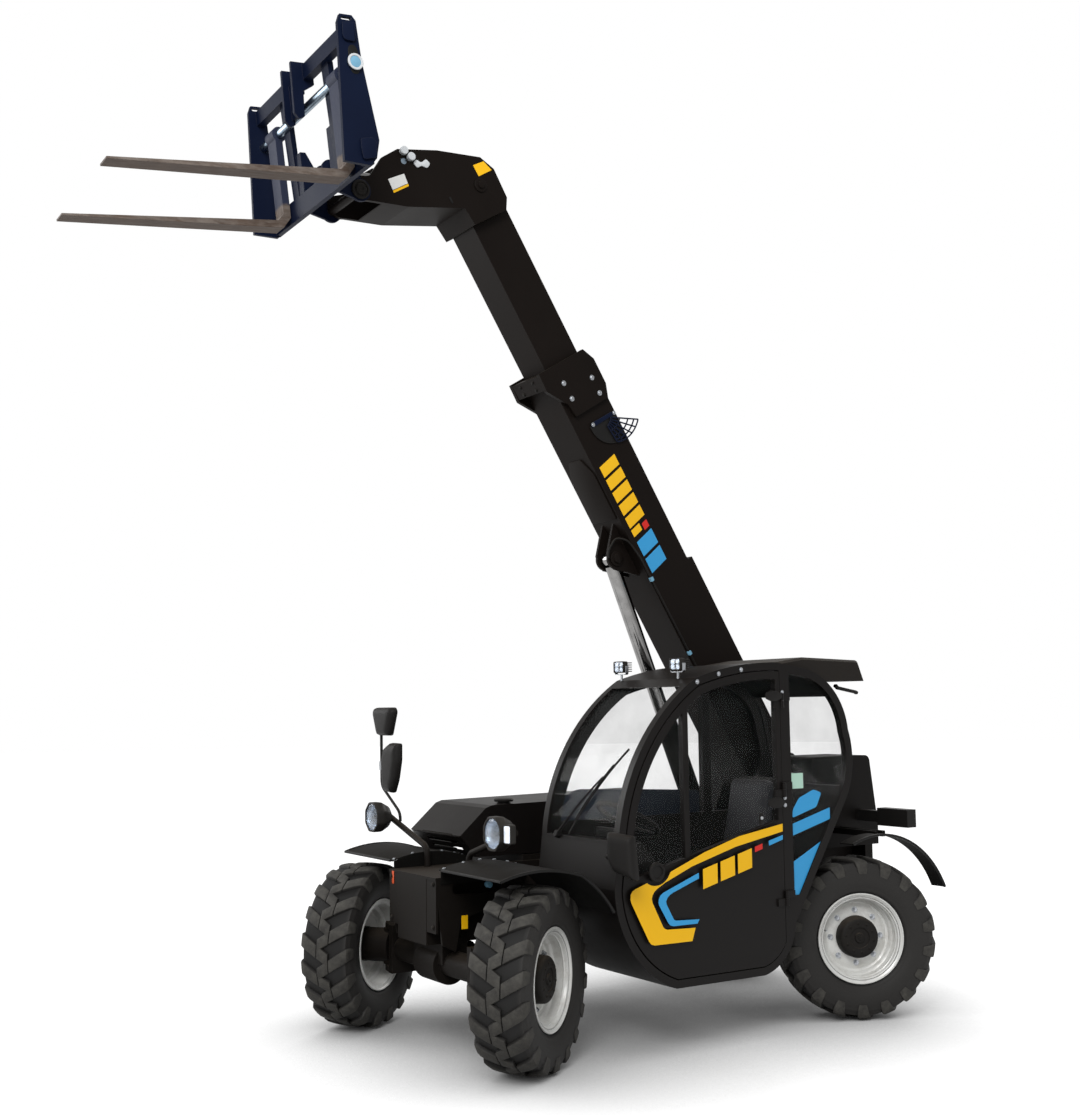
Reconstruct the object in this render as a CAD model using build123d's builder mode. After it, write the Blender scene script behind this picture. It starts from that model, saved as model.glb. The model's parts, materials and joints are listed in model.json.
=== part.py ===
"""Compact telescopic handler: tubular cab on the left, boom in the middle, engine on the right.

Millimetres. While the pieces are drawn, x is to the machine's left, y to its rear and z up from the
ground, with y = 0 half way between the axles. write() moves them so that the origin lies under the
middle of the whole machine.
"""
import os
from math import asin, atan2, cos, degrees, hypot, pi, radians, sin

from build123d import *

os.makedirs("parts", exist_ok=True)

# ---------------------------------------------------------------- clearances
SEAT = 0.3            # between pieces that are bolted together
PIN_FIT = 0.06        # radial, a pin in its bore
MOVE_GAP = 6.0        # between pieces that move past each other

# ---------------------------------------------------------------- wheels and axles
WHEELBASE = 2400.0
KINGPIN_X = 565.0
KINGPIN_OFFSET = 200.0        # kingpin to the middle of the tyre
FRONT_STEER = 35.6            # degrees about +Z, as parked
REAR_STEER = -24.5
TYRE_R = 457.5
TYRE_WIDTH = 305.0
LUG_HEIGHT = 20.0
LUG_WIDTH = 44.0
LUG_SKEW = 84.0               # how far a lug runs round the tyre, centre to shoulder
LUG_COUNT = 18                # on each half of the tread
LUG_FLAT_END = 34.0           # from the shoulder in to where a lug's top starts to fall
TYRE_SIDES = 12               # flats round the tyre under its lugs
WALL_R = 352.0                # widest ring of the side walls
SHOULDER = 22.0
BEAD_R = 232.0
BEAD_HALF = 118.0
RIM_R = 254.0
RIM_WALL = 7.0
FLANGE_WIDTH = 10.0
DISC_X = 8.0                  # inner face of the rim's disc, outwards from the tyre's middle
DISC_THICK = 14.0
HUB_R = 117.0
HUB_OUT = 88.0                # how far the hub stands out of the disc
HUB_BACK = 42.0               # how far it reaches in behind the disc
HUB_BACK_R = 98.0
STUD_PCD = 300.0
STUD_COUNT = 8
NUT_R = 13.0
NUT_HEIGHT = 15.0
SPINDLE_R = 40.0
KNUCKLE_R = 56.0
KNUCKLE_HALF = 100.0
KNUCKLE_HOUSING_R = 94.0
KINGPIN_R = 20.0
KINGPIN_DEPTH = 45.0
EAR_THICK = 30.0
EAR_BORE_GAP = 2.0            # between an ear and the knuckle's end
AXLE_TUBE_R = 68.0
AXLE_YOKE_X = 450.0           # where the yoke leaves the tube
DIFF_R = 125.0
DIFF_WIDTH = 230.0

# ---------------------------------------------------------------- frame
FRAME_HALF = 165.0            # outer face of the main plates
FRAME_PLATE = 20.0
FRAME_LOW = 570.0
FRAME_HIGH = 925.0
FRAME_FRONT = -1370.0
FRAME_REAR = 1700.0
NOSE_HALF = 270.0
NOSE_PLATE = 14.0
NOSE_REAR = -800.0
NOSE_FACE_LOW = 640.0         # foot of the nose's front face beside the main plates
BELLY_THICK = 8.0
TOWER_TOP_R = 105.0
HITCH_LENGTH = 90.0
HITCH_PLATE = 24.0
HITCH_LOW = 90.0              # middles of the hitch plates, above the counterweight's foot
HITCH_HIGH = 200.0
HITCH_BORE_R = 16.0
HITCH_PIN_BACK = 38.0
COUNTER_HALF = 285.0
COUNTER_LOW = 430.0
COUNTER_HIGH = 1120.0
COUNTER_FRONT = 1545.0
COUNTER_REAR = 1765.0

# ---------------------------------------------------------------- boom
LIFT = 58.5                   # degrees above level, as parked
PIVOT_Y = 1100.0
PIVOT_Z = 1470.0
PIVOT_PIN_R = 35.0
OUTER_HALF = 140.0
OUTER_LOW = -252.0            # boom heights are across the boom, from the pivot's line
OUTER_HIGH = 68.0
OUTER_REAR_HIGH = 105.0
OUTER_STEP = 1380.0           # where the deeper rear part ends, along the boom
OUTER_BACK = -125.0
OUTER_FRONT = 2775.0
OUTER_WALL = 10.0
INNER_HALF = 117.0
INNER_LOW = -232.0
INNER_HIGH = 30.0
INNER_WALL = 9.0
INNER_BACK = 1560.0
EYE_U = 1620.0                # lift cylinder's pin under the boom
EYE_V = -345.0
CHEEK_GAP = 46.0              # half the space between the cheeks
CHEEK_THICK = 18.0
BASE_Y = 780.0                # lift cylinder's lower pin
BASE_Z = 640.0
LIFT_BARREL_R = 65.0
LIFT_BORE_R = 46.0
LIFT_ROD_R = 44.0
LIFT_BARREL = 1140.0
EYE_R = 42.0
LIFT_PIN_R = 25.0             # at the cylinder's foot
COLLAR_PLATE = 26.0
PAD_BACK = 2640.0             # rear end of the wear pads in the outer boom's mouth

# ---------------------------------------------------------------- boom head and tilt cylinder
HEAD_BACK = 3700.0
HEAD_HALF = 170.0
HEAD_PLATE = 24.0
HEAD_NOSE_R = 76.0            # round the carriage's pivot
HEAD_PIN_OUT = 34.0           # how far the carriage's pin stands out of the head
TILT_U = 4120.0               # carriage pivot
TILT_V = -832.0
TILT_PIN_R = 25.0
TILT_BASE_U = 3882.0
TILT_BASE_V = -98.0
TILT_ARM = 180.0              # carriage pivot to the tilt rod's eye
TILT_ARM_ANGLE = -6.0         # degrees from the boom's line, as parked
TILT_BARREL_R = 50.0
TILT_ROD_R = 28.0
TILT_BORE_R = 29.5
TILT_BARREL = 430.0
TILT_EYE_R = 36.0

# ---------------------------------------------------------------- fork carriage
FORK_SLOPE = 7.1              # degrees, nose down, as parked
CARRIAGE_HALF = 630.0
CARRIAGE_HIGH = 732.0
SIDE_PLATE = 22.0
CHEEK_OUT = 196.0             # outer face of the cheeks that carry the pivot
TILT_CHEEK_GAP = 38.0
FORK_X = 425.0
FORK_WIDTH = 110.0
FORK_THICK = 42.0
FORK_TIP = 10.0
FORK_SHANK_T = 160.0          # rear face of the shank, forward of the carriage pivot
FORK_END_T = 1416.0
FORK_LOW = -46.0
FORK_SHANK_TOP = 505.0
FORK_EYE_WALL = 18.0          # of the shank's eye round the shaft
SHAFT_R = 24.0
SHAFT_T = 174.0
SHAFT_S = 488.0
SHAFT_OUT = 14.0              # how far it stands out of the side plates
SHAFT_COLLAR_R = 42.0
BEAM_LOW = 618.0              # top beam
BEAM_HIGH = 698.0
BEAM_BACK = 150.0
BEAM_DEEP = 50.0
SILL_HIGH = 95.0              # top of the bottom plate, which the boom's head stays above
UPRIGHT_X = 285.0
UPRIGHT_WIDE = 80.0
HOOK_OUT = 74.0
HOOK_THICK = 20.0

# ---------------------------------------------------------------- cab
CAB_IN = 172.0                # face beside the boom
CAB_OUT = 900.0
CAB_WALL = 40.0
CAB_SKIN = 30.0
PILLAR = 48.0
DOOR_REAR = 455.0
DOOR_INSET = 48.0             # from the cab's outline to the door's
DOOR_FRAME = 44.0             # width of the door's own frame round its window
DOOR_THICK = 38.0
GLASS = 6.0
GLASS_IN = 10.0               # from the frame's outer face to the glass
WAIST = 1090.0
ROOF_SILL = 1900.0
FRONT_SILL = 1110.0
REAR_SILL = 1330.0
REAR_HEAD = 1840.0
DOOR_BAR = 34.0               # upright between the door's two panes
DOOR_BAR_Y = -211.0
HINGE_HEIGHTS = (720.0, 1310.0, 1800.0)
HINGE_X = 913.0
HINGE_Y = 462.0
HINGE_R = 12.0
HINGE_TALL = 40.0
HINGE_PIN_R = 6.0
HINGE_FACE_GAP = 0.5          # between the door's knuckle and the cab's
STRAP = 62.0
DOOR_PROUD = 3.0              # the door's face stands out of the cab's side
ROOF_CAP_FRONT = 470.0
ROOF_CAP_REAR = 1167.0

# ---------------------------------------------------------------- engine side
BAY_OUT = -850.0
BAY_IN = -185.0
BAY_FRONT = -560.0
BAY_REAR = 575.0
BAY_LOW = 430.0
BAY_WALL = 8.0
ENGINE_WIDE = 480.0
ENGINE_LONG = 800.0
ENGINE_TALL = 640.0
HOOD_LOW = 960.0
HOOD_TOP = 1245.0
HOOD_OUT = -800.0
HOOD_WALL = 12.0
HOOD_FRONT = -863.0           # at its foot
HOOD_REAR = 700.0
HOOD_HINGES = (-700.0, -330.0)
HOOD_HINGE_Y = 712.0
HOOD_HINGE_Z = 950.0
HOOD_LUG = 30.0
HOOD_LUG_R = 12.0

# ---------------------------------------------------------------- mudguards
GUARD_R = 592.0               # clears the steered tyre's sweep
GUARD_THICK = 6.0
GUARD_OUT = 905.0
REAR_GUARD_R = 578.0
REAR_GUARD_IN = 800.0
ARCH_FOOT = 31.0              # the front guard's rear end, in degrees up from the axle's rear
ARCH_FOLD = 58.0              # where it leaves its arc
ARCH_CREST_Y = -1120.0
ARCH_CREST = 998.0
ARCH_FRONT = -1350.0
ARCH_NOSE_Z = 962.0

# ---------------------------------------------------------------- tanks and lamps
TANK_OUT = 500.0
TANK_FRONT = 1060.0
TANK_REAR = 1600.0
TANK_LOW = 935.0
TANK_HIGH = 1480.0
LAMP_X = 695.0
LAMP_Y = -1230.0
LAMP_Z = 1175.0
LAMP_R = 92.0
LAMP_DEPTH = 60.0
BRACKET_R = 17.0
BRACKET_BEND = 1030.0
MIRROR_X = 823.0              # upper end of the right mirrors' stalk
STALK_FOOT = 570.0
STALK_R = 9.0
MIRROR_DEEP = 56.0
LEFT_MIRROR_X = 1008.0
MIRROR_TURN = 22.0            # of the left mirror, in towards the driver
TAIL_Y = 1440.0
TAIL_Z = 1120.0

# ---------------------------------------------------------------- derived places
AXLE_Z = TYRE_R
FRONT_Y = -WHEELBASE / 2
REAR_Y = WHEELBASE / 2
SIDE = Plane.YZ               # sketches here are (y, z), extruded to the left
BOOM = Plane(origin=(0, PIVOT_Y, PIVOT_Z), x_dir=(0, -cos(radians(LIFT)), sin(radians(LIFT))),
             z_dir=(-1, 0, 0))


def boom_point(u, v):
    """Machine (y, z) of a place u along the boom and v across it."""
    place = BOOM.from_local_coords((u, v, 0))
    return place.Y, place.Z


TILT_Y, TILT_Z = boom_point(TILT_U, TILT_V)
FORK = Plane(origin=(0, TILT_Y, TILT_Z),
             x_dir=(0, -cos(radians(FORK_SLOPE)), -sin(radians(FORK_SLOPE))), z_dir=(-1, 0, 0))
FORK_TIP_Y = FORK.from_local_coords((FORK_END_T, FORK_LOW, 0)).Y
ORIGIN_Y = (FORK_TIP_Y + COUNTER_REAR + HITCH_LENGTH) / 2


def write(name, piece):
    """Name a finished piece, put it in the machine's frame and keep it."""
    placed = piece.moved(Location((0, -ORIGIN_Y, 0)))
    placed.label = name
    export_step(placed, f"parts/{name}.step")


def across(half, thick):
    """Two side planes for plates that end at +half and -half, each drawn inwards by thick."""
    return SIDE.offset(half - thick), SIDE.offset(-half)


# ================================================================ wheels
def facets(*rings):
    """A solid between rings of as many corners, each joined to the next by flat faces and the last to the first."""
    looped = list(rings) + [rings[0]]
    sides = [Face(Wire.make_polygon([near[i - 1], near[i], far[i], far[i - 1]], close=True))
             for near, far in zip(looped, looped[1:]) for i in range(len(near))]
    return Solid(Shell(sides))


def tyre_ring(x, flat_radius):
    """Corners round the axle at x, with TYRE_SIDES flats at one radius."""
    turn = 2 * pi / TYRE_SIDES
    corner_r = flat_radius / cos(turn / 2)
    return [Vector(x, corner_r * cos(i * turn), corner_r * sin(i * turn)) for i in range(TYRE_SIDES)]


crown = TYRE_R - LUG_HEIGHT
half = TYRE_WIDTH / 2
bead_top = RIM_R + 3
# half of the section, from the bead's foot to the shoulder: distance from the middle and flat radius
TYRE_SECTION = ((BEAD_HALF, BEAD_R), (BEAD_HALF, bead_top), (half, WALL_R), (half - SHOULDER, crown - 10))
with BuildPart() as tyre:
    add(facets(*[tyre_ring(x, r) for x, r in TYRE_SECTION],
               *[tyre_ring(-x, r) for x, r in TYRE_SECTION[::-1]]))
    # a lug runs from the tread's middle to the shoulder, then steps down the wall; its corners
    # reach the tyre's radius, and one of them stands on the ground
    skew = atan2(LUG_SKEW, half)
    run = (half - 2 - LUG_WIDTH / 2 * sin(skew)) / cos(skew)
    reach = (run - LUG_FLAT_END) * sin(skew)
    corner = asin((reach + LUG_WIDTH * cos(skew)) / 2 / TYRE_R)
    lug_top = TYRE_R * cos(corner)
    pitch = 360 / LUG_COUNT
    for side, start in ((1, degrees(corner)), (-1, degrees(corner) + pitch / 2)):
        along = Vector(side * cos(skew), sin(skew), 0)
        wall = Plane(origin=(0, -reach / 2, 0), x_dir=along, z_dir=along.cross(Vector(0, 0, 1)))
        with BuildSketch(wall.offset(-LUG_WIDTH / 2)) as profile:
            with BuildLine():
                Polyline((-8, crown - 24), (run - LUG_FLAT_END, crown - 24), (run, crown - 50),
                         (run, crown - 2), (run - LUG_FLAT_END, lug_top), (-8, lug_top), close=True)
            make_face()
        lug = Solid.extrude(profile.sketch.face(), wall.z_dir * LUG_WIDTH)
        add([lug.rotate(Axis.X, start + index * pitch) for index in range(LUG_COUNT)])

with BuildPart() as rim:
    with BuildSketch(Plane.XY):
        with BuildLine():
            edge = BEAD_HALF + SEAT
            seat = BEAD_R - SEAT
            Polyline((-edge - FLANGE_WIDTH, RIM_R), (-edge, RIM_R), (-edge, seat), (-40, seat),
                     (-28, seat - 22), (28, seat - 22), (40, seat), (edge, seat), (edge, RIM_R),
                     (edge + FLANGE_WIDTH, RIM_R), (edge + FLANGE_WIDTH, seat - RIM_WALL),
                     (44, seat - RIM_WALL), (32, seat - 22 - RIM_WALL),
                     (DISC_X + DISC_THICK + 6, seat - 22 - RIM_WALL), (DISC_X + DISC_THICK, 178),
                     (DISC_X + DISC_THICK, SPINDLE_R + PIN_FIT), (DISC_X, SPINDLE_R + PIN_FIT),
                     (DISC_X, 182), (DISC_X - 6, seat - 22 - RIM_WALL),
                     (-32, seat - 22 - RIM_WALL), (-44, seat - RIM_WALL),
                     (-edge - FLANGE_WIDTH, seat - RIM_WALL), close=True)
        make_face()
    revolve(axis=Axis.X)
    with BuildSketch(Plane.YZ.offset(DISC_X + DISC_THICK)):
        with PolarLocations(STUD_PCD / 2, STUD_COUNT):
            RegularPolygon(NUT_R, 6)
    extrude(amount=NUT_HEIGHT)
    hub_face = DISC_X + DISC_THICK
    with BuildSketch(Plane.XY):
        with BuildLine():
            Polyline((DISC_X - HUB_BACK, SPINDLE_R + PIN_FIT), (DISC_X - HUB_BACK, HUB_BACK_R),
                     (hub_face, HUB_BACK_R), (hub_face, HUB_R), (hub_face + HUB_OUT - 18, HUB_R - 8),
                     (hub_face + HUB_OUT, HUB_R - 34), (hub_face + HUB_OUT, 0),
                     (hub_face + HUB_OUT - 30, 0), (hub_face + HUB_OUT - 30, SPINDLE_R + PIN_FIT),
                     close=True)
        make_face()
    revolve(axis=Axis.X)

with BuildPart() as knuckle:
    Cylinder(KNUCKLE_R, 2 * KNUCKLE_HALF)
    with BuildSketch(Plane.YZ):
        Circle(KNUCKLE_HOUSING_R)
    extrude(amount=KINGPIN_OFFSET + DISC_X - HUB_BACK - MOVE_GAP)
    with BuildSketch(Plane.YZ.offset(KNUCKLE_R)):
        Circle(SPINDLE_R)
    spindle_end = KINGPIN_OFFSET + DISC_X + DISC_THICK + HUB_OUT - 30 - MOVE_GAP
    extrude(amount=spindle_end - KNUCKLE_R)
    with BuildSketch(Plane.XY.offset(-30)):
        with BuildLine():
            Polyline((-10, 0), (-10, 120), (6, 150), (34, 150), (50, 60), (50, 0), close=True)
        make_face()
    extrude(amount=24)
    for end in (1, -1):
        with BuildSketch(Plane.XY.offset(end * KNUCKLE_HALF)):
            Circle(KINGPIN_R + PIN_FIT)
        extrude(amount=-end * (KINGPIN_DEPTH + 5), mode=Mode.SUBTRACT)

# columns: name, side, axle's y, steering angle as parked
CORNERS = (
    ("front_left", 1, FRONT_Y, FRONT_STEER),
    ("front_right", -1, FRONT_Y, FRONT_STEER),
    ("rear_left", 1, REAR_Y, REAR_STEER),
    ("rear_right", -1, REAR_Y, REAR_STEER),
)
right_tyre = tyre.part.mirror(Plane.YZ)
right_rim = rim.part.mirror(Plane.YZ)
right_knuckle = knuckle.part.mirror(Plane.YZ)
for name, side, axle_y, steer in CORNERS:
    kingpin = Location((side * KINGPIN_X, axle_y, AXLE_Z), (0, 0, steer))
    centre = kingpin * Location((side * KINGPIN_OFFSET, 0, 0))
    left = side > 0
    write(f"tyre_{name}", (tyre.part if left else right_tyre).moved(centre))
    write(f"rim_{name}", (rim.part if left else right_rim).moved(centre))
    write(f"knuckle_{name}", (knuckle.part if left else right_knuckle).moved(kingpin))

# ================================================================ axles
for name, axle_y, facing in (("front_axle", FRONT_Y, 1), ("rear_axle", REAR_Y, -1)):
    with BuildPart() as axle:
        with BuildSketch(Plane.YZ.offset(-AXLE_YOKE_X)):
            with Locations((axle_y, AXLE_Z)):
                Circle(AXLE_TUBE_R)
        extrude(amount=2 * AXLE_YOKE_X)
        with BuildSketch(Plane.YZ.offset(-DIFF_WIDTH / 2)):
            with Locations((axle_y, AXLE_Z - 10)):
                Circle(DIFF_R - 20)
        extrude(amount=DIFF_WIDTH)
        with BuildSketch(Plane.XZ.offset(-axle_y)):
            with Locations((0, AXLE_Z - 10)):
                Circle(DIFF_R - 35)
        extrude(amount=facing * -190)
        with Locations((0, axle_y, (AXLE_Z + FRAME_LOW) / 2)):
            Box(2 * FRAME_HALF, 150, FRAME_LOW - AXLE_Z - 2 * SEAT)
        ear_in = KNUCKLE_HALF + EAR_BORE_GAP
        for side in (1, -1):
            with Locations((side * AXLE_YOKE_X, axle_y, AXLE_Z)):
                Box(44, 150, 2 * (ear_in + EAR_THICK))
            for end in (1, -1):
                ear = Plane.XY.offset(AXLE_Z + end * ear_in)
                with BuildSketch(ear):
                    with BuildLine():
                        yoke_x = side * AXLE_YOKE_X
                        Polyline((yoke_x, axle_y + 75), (side * KINGPIN_X, axle_y + 52),
                                 (side * (KINGPIN_X + 45), axle_y + 26),
                                 (side * (KINGPIN_X + 45), axle_y - 26),
                                 (side * KINGPIN_X, axle_y - 52), (yoke_x, axle_y - 75), close=True)
                    make_face()
                extrude(amount=end * EAR_THICK)
                with BuildSketch(ear):
                    with Locations((side * KINGPIN_X, axle_y)):
                        Circle(KINGPIN_R)
                extrude(amount=-end * KINGPIN_DEPTH)
    write(name, axle.part)

# ================================================================ frame
with BuildPart() as frame:
    for plane in across(FRAME_HALF, FRAME_PLATE):
        with BuildSketch(plane):
            with BuildLine():
                Polyline((FRAME_FRONT, FRAME_HIGH), (FRAME_FRONT, FRAME_LOW), (FRAME_REAR, FRAME_LOW),
                         (FRAME_REAR, FRAME_HIGH + 60), (PIVOT_Y + 330, PIVOT_Z - 170),
                         (PIVOT_Y + TOWER_TOP_R, PIVOT_Z + 20))
                RadiusArc((PIVOT_Y + TOWER_TOP_R, PIVOT_Z + 20),
                          (PIVOT_Y - TOWER_TOP_R, PIVOT_Z + 20), -TOWER_TOP_R - 4)
                Polyline((PIVOT_Y - TOWER_TOP_R, PIVOT_Z + 20), (PIVOT_Y - 270, PIVOT_Z - 330),
                         (PIVOT_Y - 330, FRAME_HIGH), (FRAME_FRONT, FRAME_HIGH))
            make_face()
        extrude(amount=FRAME_PLATE)
    with Locations((0, (FRAME_FRONT + FRAME_REAR) / 2, FRAME_LOW + BELLY_THICK / 2)):
        Box(2 * FRAME_HALF, FRAME_REAR - FRAME_FRONT, BELLY_THICK)
    for y in (FRAME_FRONT + NOSE_PLATE / 2, FRAME_REAR - NOSE_PLATE / 2):
        with Locations((0, y, (FRAME_LOW + FRAME_HIGH) / 2)):
            Box(2 * FRAME_HALF, NOSE_PLATE, FRAME_HIGH - FRAME_LOW)
    with Locations((0, (FRAME_FRONT + NOSE_REAR) / 2, FRAME_HIGH - BELLY_THICK / 2)):
        Box(2 * FRAME_HALF, NOSE_REAR - FRAME_FRONT, BELLY_THICK)
    for plane in across(NOSE_HALF, NOSE_PLATE):
        with BuildSketch(plane):
            with BuildLine():
                Polyline((FRAME_FRONT, FRAME_HIGH), (FRAME_FRONT + 40, FRAME_LOW + 10),
                         (FRAME_FRONT + 120, FRAME_LOW - 30), (FRAME_FRONT + 150, 700),
                         (NOSE_REAR - 60, 800), (NOSE_REAR, FRAME_HIGH), close=True)
            make_face()
            with Locations((FRAME_FRONT + 250, FRAME_HIGH - 63)):
                SlotOverall(300, 62, mode=Mode.SUBTRACT)
        extrude(amount=NOSE_PLATE)
    nose_wide = NOSE_HALF - FRAME_HALF + FRAME_PLATE
    for side in (1, -1):
        nose_x = side * (NOSE_HALF - nose_wide / 2)
        with Locations((nose_x, (FRAME_FRONT + NOSE_REAR) / 2, FRAME_HIGH - NOSE_PLATE / 2)):
            Box(nose_wide, NOSE_REAR - FRAME_FRONT, NOSE_PLATE)
        with Locations((nose_x, FRAME_FRONT + NOSE_PLATE / 2 + 2, (FRAME_HIGH + NOSE_FACE_LOW) / 2)):
            Box(nose_wide, NOSE_PLATE, FRAME_HIGH - NOSE_FACE_LOW)
    # pads that the cab and the engine bay are bolted to
    for face, mount_y in ((CAB_IN, -250), (CAB_IN, 250), (BAY_IN, -400), (BAY_IN, 400)):
        middle = face / 2 + (FRAME_HALF - 1 - SEAT) / 2 * (1 if face > 0 else -1)
        with Locations((middle, mount_y, FRAME_LOW + 120)):
            Box(abs(face) - SEAT - FRAME_HALF + 1, 120, 90)
    for pin_y, pin_z, pin_r in ((PIVOT_Y, PIVOT_Z, PIVOT_PIN_R), (BASE_Y, BASE_Z, LIFT_PIN_R)):
        with BuildSketch(SIDE.offset(-FRAME_HALF)):
            with Locations((pin_y, pin_z)):
                Circle(pin_r)
        extrude(amount=2 * FRAME_HALF)
write("frame", frame.part)

with BuildPart() as counterweight:
    with BuildSketch(SIDE.offset(-COUNTER_HALF)):
        with BuildLine():
            Polyline((FRAME_REAR + SEAT, COUNTER_LOW), (FRAME_REAR + SEAT, COUNTER_HIGH - 80),
                     (COUNTER_REAR - 60, COUNTER_HIGH - 80), (COUNTER_REAR, COUNTER_HIGH - 200),
                     (COUNTER_REAR, COUNTER_LOW + 60), (COUNTER_REAR - 40, COUNTER_LOW), close=True)
        make_face()
    extrude(amount=2 * COUNTER_HALF)
    for z in (COUNTER_LOW + HITCH_LOW, COUNTER_LOW + HITCH_HIGH):
        with Locations((0, COUNTER_REAR + HITCH_LENGTH / 2, z)):
            Box(100, HITCH_LENGTH, HITCH_PLATE)
        with Locations((0, COUNTER_REAR + HITCH_LENGTH - HITCH_PIN_BACK, z)):
            Cylinder(HITCH_BORE_R, 2 * HITCH_PLATE, mode=Mode.SUBTRACT)
write("counterweight", counterweight.part)


# ================================================================ cab
def cab_outline():
    """Side view of the cab, drawn with lines and arcs in the current line builder."""
    ThreePointArc((-300, 343), (-560, 530), (-682, 870))
    Line((-682, 870), (-655, WAIST))
    ThreePointArc((-655, WAIST), (-520, 1540), (-130, 1945))
    ThreePointArc((-130, 1945), (130, 2008), (450, 2030))
    Line((450, 2030), (620, 2004))
    ThreePointArc((620, 2004), (868, 1880), (975, 1650))
    ThreePointArc((975, 1650), (1000, 1440), (939, 1255))
    Line((939, 1255), (535, 600))
    ThreePointArc((535, 600), (455, 425), (300, 343))
    Line((300, 343), (-300, 343))


with BuildSketch() as cab_side:
    with BuildLine():
        cab_outline()
    make_face()

with BuildSketch() as cab_inner:
    add(cab_side.sketch)
    offset(amount=-CAB_SKIN, mode=Mode.REPLACE)

with BuildSketch() as door_side:
    add(cab_side.sketch)
    offset(amount=-DOOR_INSET, mode=Mode.REPLACE)
    with Locations((DOOR_REAR + 1000, 1200)):
        Rectangle(2000, 2400, mode=Mode.SUBTRACT)

with BuildSketch() as door_hole:
    add(door_side.sketch)
    offset(amount=MOVE_GAP, mode=Mode.REPLACE)

with BuildSketch() as door_window:
    add(cab_side.sketch)
    offset(amount=-(DOOR_INSET + DOOR_FRAME), mode=Mode.REPLACE)
    with Locations((DOOR_REAR - 30 + 1000, 1200)):
        Rectangle(2000, 2400, mode=Mode.SUBTRACT)
    with BuildLine():
        Polyline((-1000, 0), (1000, 0), (1000, 1310), (443, 1170), (-212, 1008), (-1000, 810), close=True)
    make_face(mode=Mode.SUBTRACT)

with BuildSketch() as quarter_window:
    add(cab_side.sketch)
    offset(amount=-PILLAR, mode=Mode.REPLACE)
    with Locations((DOOR_REAR + 75 - 1500, 1200)):
        Rectangle(3000, 2400, mode=Mode.SUBTRACT)
    with Locations((500, 350)):
        Rectangle(2000, 800, mode=Mode.SUBTRACT)

with BuildSketch() as inner_window:
    add(cab_side.sketch)
    offset(amount=-90, mode=Mode.REPLACE)
    with Locations((0, 560)):
        Rectangle(3000, 1220, mode=Mode.SUBTRACT)
    with Locations((490, 1500)):
        Rectangle(60, 1400, mode=Mode.SUBTRACT)


def plate(outline, x, thick, mode=Mode.ADD):
    """A flat plate of a (y, z) outline, from x to x + thick, for the part being built."""
    extrude(SIDE.offset(x) * outline.sketch, amount=thick, dir=(1, 0, 0), mode=mode)


with BuildPart() as cab_frame:
    plate(cab_side, CAB_IN, CAB_OUT - CAB_IN)
    plate(cab_inner, CAB_IN + CAB_WALL, CAB_OUT - CAB_IN - 2 * CAB_WALL, Mode.SUBTRACT)
    plate(door_hole, CAB_OUT - CAB_WALL - 5, CAB_WALL + 10, Mode.SUBTRACT)
    plate(quarter_window, CAB_OUT - CAB_WALL - 5, CAB_WALL + 10, Mode.SUBTRACT)
    plate(inner_window, CAB_IN - 5, CAB_WALL + 10, Mode.SUBTRACT)
    glass_mid = (CAB_IN + CAB_OUT) / 2
    glass_width = CAB_OUT - CAB_IN - 2 * PILLAR
    with Locations((glass_mid, -600, (FRONT_SILL + ROOF_SILL) / 2)):
        Box(glass_width, 1000, ROOF_SILL - FRONT_SILL, mode=Mode.SUBTRACT)
    with Locations((glass_mid, 1000, (REAR_SILL + REAR_HEAD) / 2)):
        Box(glass_width, 400, REAR_HEAD - REAR_SILL, mode=Mode.SUBTRACT)
    for z in HINGE_HEIGHTS:
        with Locations((HINGE_X, HINGE_Y, z + HINGE_TALL)):
            Cylinder(HINGE_R, HINGE_TALL)
        with Locations((HINGE_X, HINGE_Y, z + 20)):
            Cylinder(HINGE_PIN_R, HINGE_TALL + 20)
        with Locations(((HINGE_X + CAB_OUT - 1) / 2, HINGE_Y + STRAP / 2, z + HINGE_TALL)):
            Box(HINGE_X - CAB_OUT + 1, STRAP, HINGE_TALL)
write("cab_frame", cab_frame.part)

# glass lies in the middle of each opening and is let into its frame by the seat
with BuildSketch() as screen_outer:
    add(cab_side.sketch)
    offset(amount=-GLASS_IN, mode=Mode.REPLACE)
with BuildSketch() as screen_inner:
    add(cab_side.sketch)
    offset(amount=-GLASS_IN - GLASS, mode=Mode.REPLACE)
for name, y, low, high in (("windscreen", -600, FRONT_SILL, ROOF_SILL),
                           ("rear_glass", 1000, REAR_SILL, REAR_HEAD)):
    with BuildPart() as glass:
        plate(screen_outer, CAB_IN + PILLAR + SEAT, glass_width - 2 * SEAT)
        plate(screen_inner, CAB_IN, CAB_OUT - CAB_IN, Mode.SUBTRACT)
        with Locations((glass_mid, y, (low + high) / 2)):
            Box(glass_width, 1000, high - low - 2 * SEAT, mode=Mode.INTERSECT)
    write(name, glass.part)

for name, window, x in (("quarter_glass", quarter_window, CAB_OUT - GLASS_IN - GLASS),
                        ("inner_glass", inner_window, CAB_IN + GLASS_IN)):
    with BuildSketch() as pane:
        add(window.sketch)
        offset(amount=-SEAT, mode=Mode.REPLACE)
    with BuildPart() as glass:
        plate(pane, x, GLASS)
    write(name, glass.part)

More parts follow.
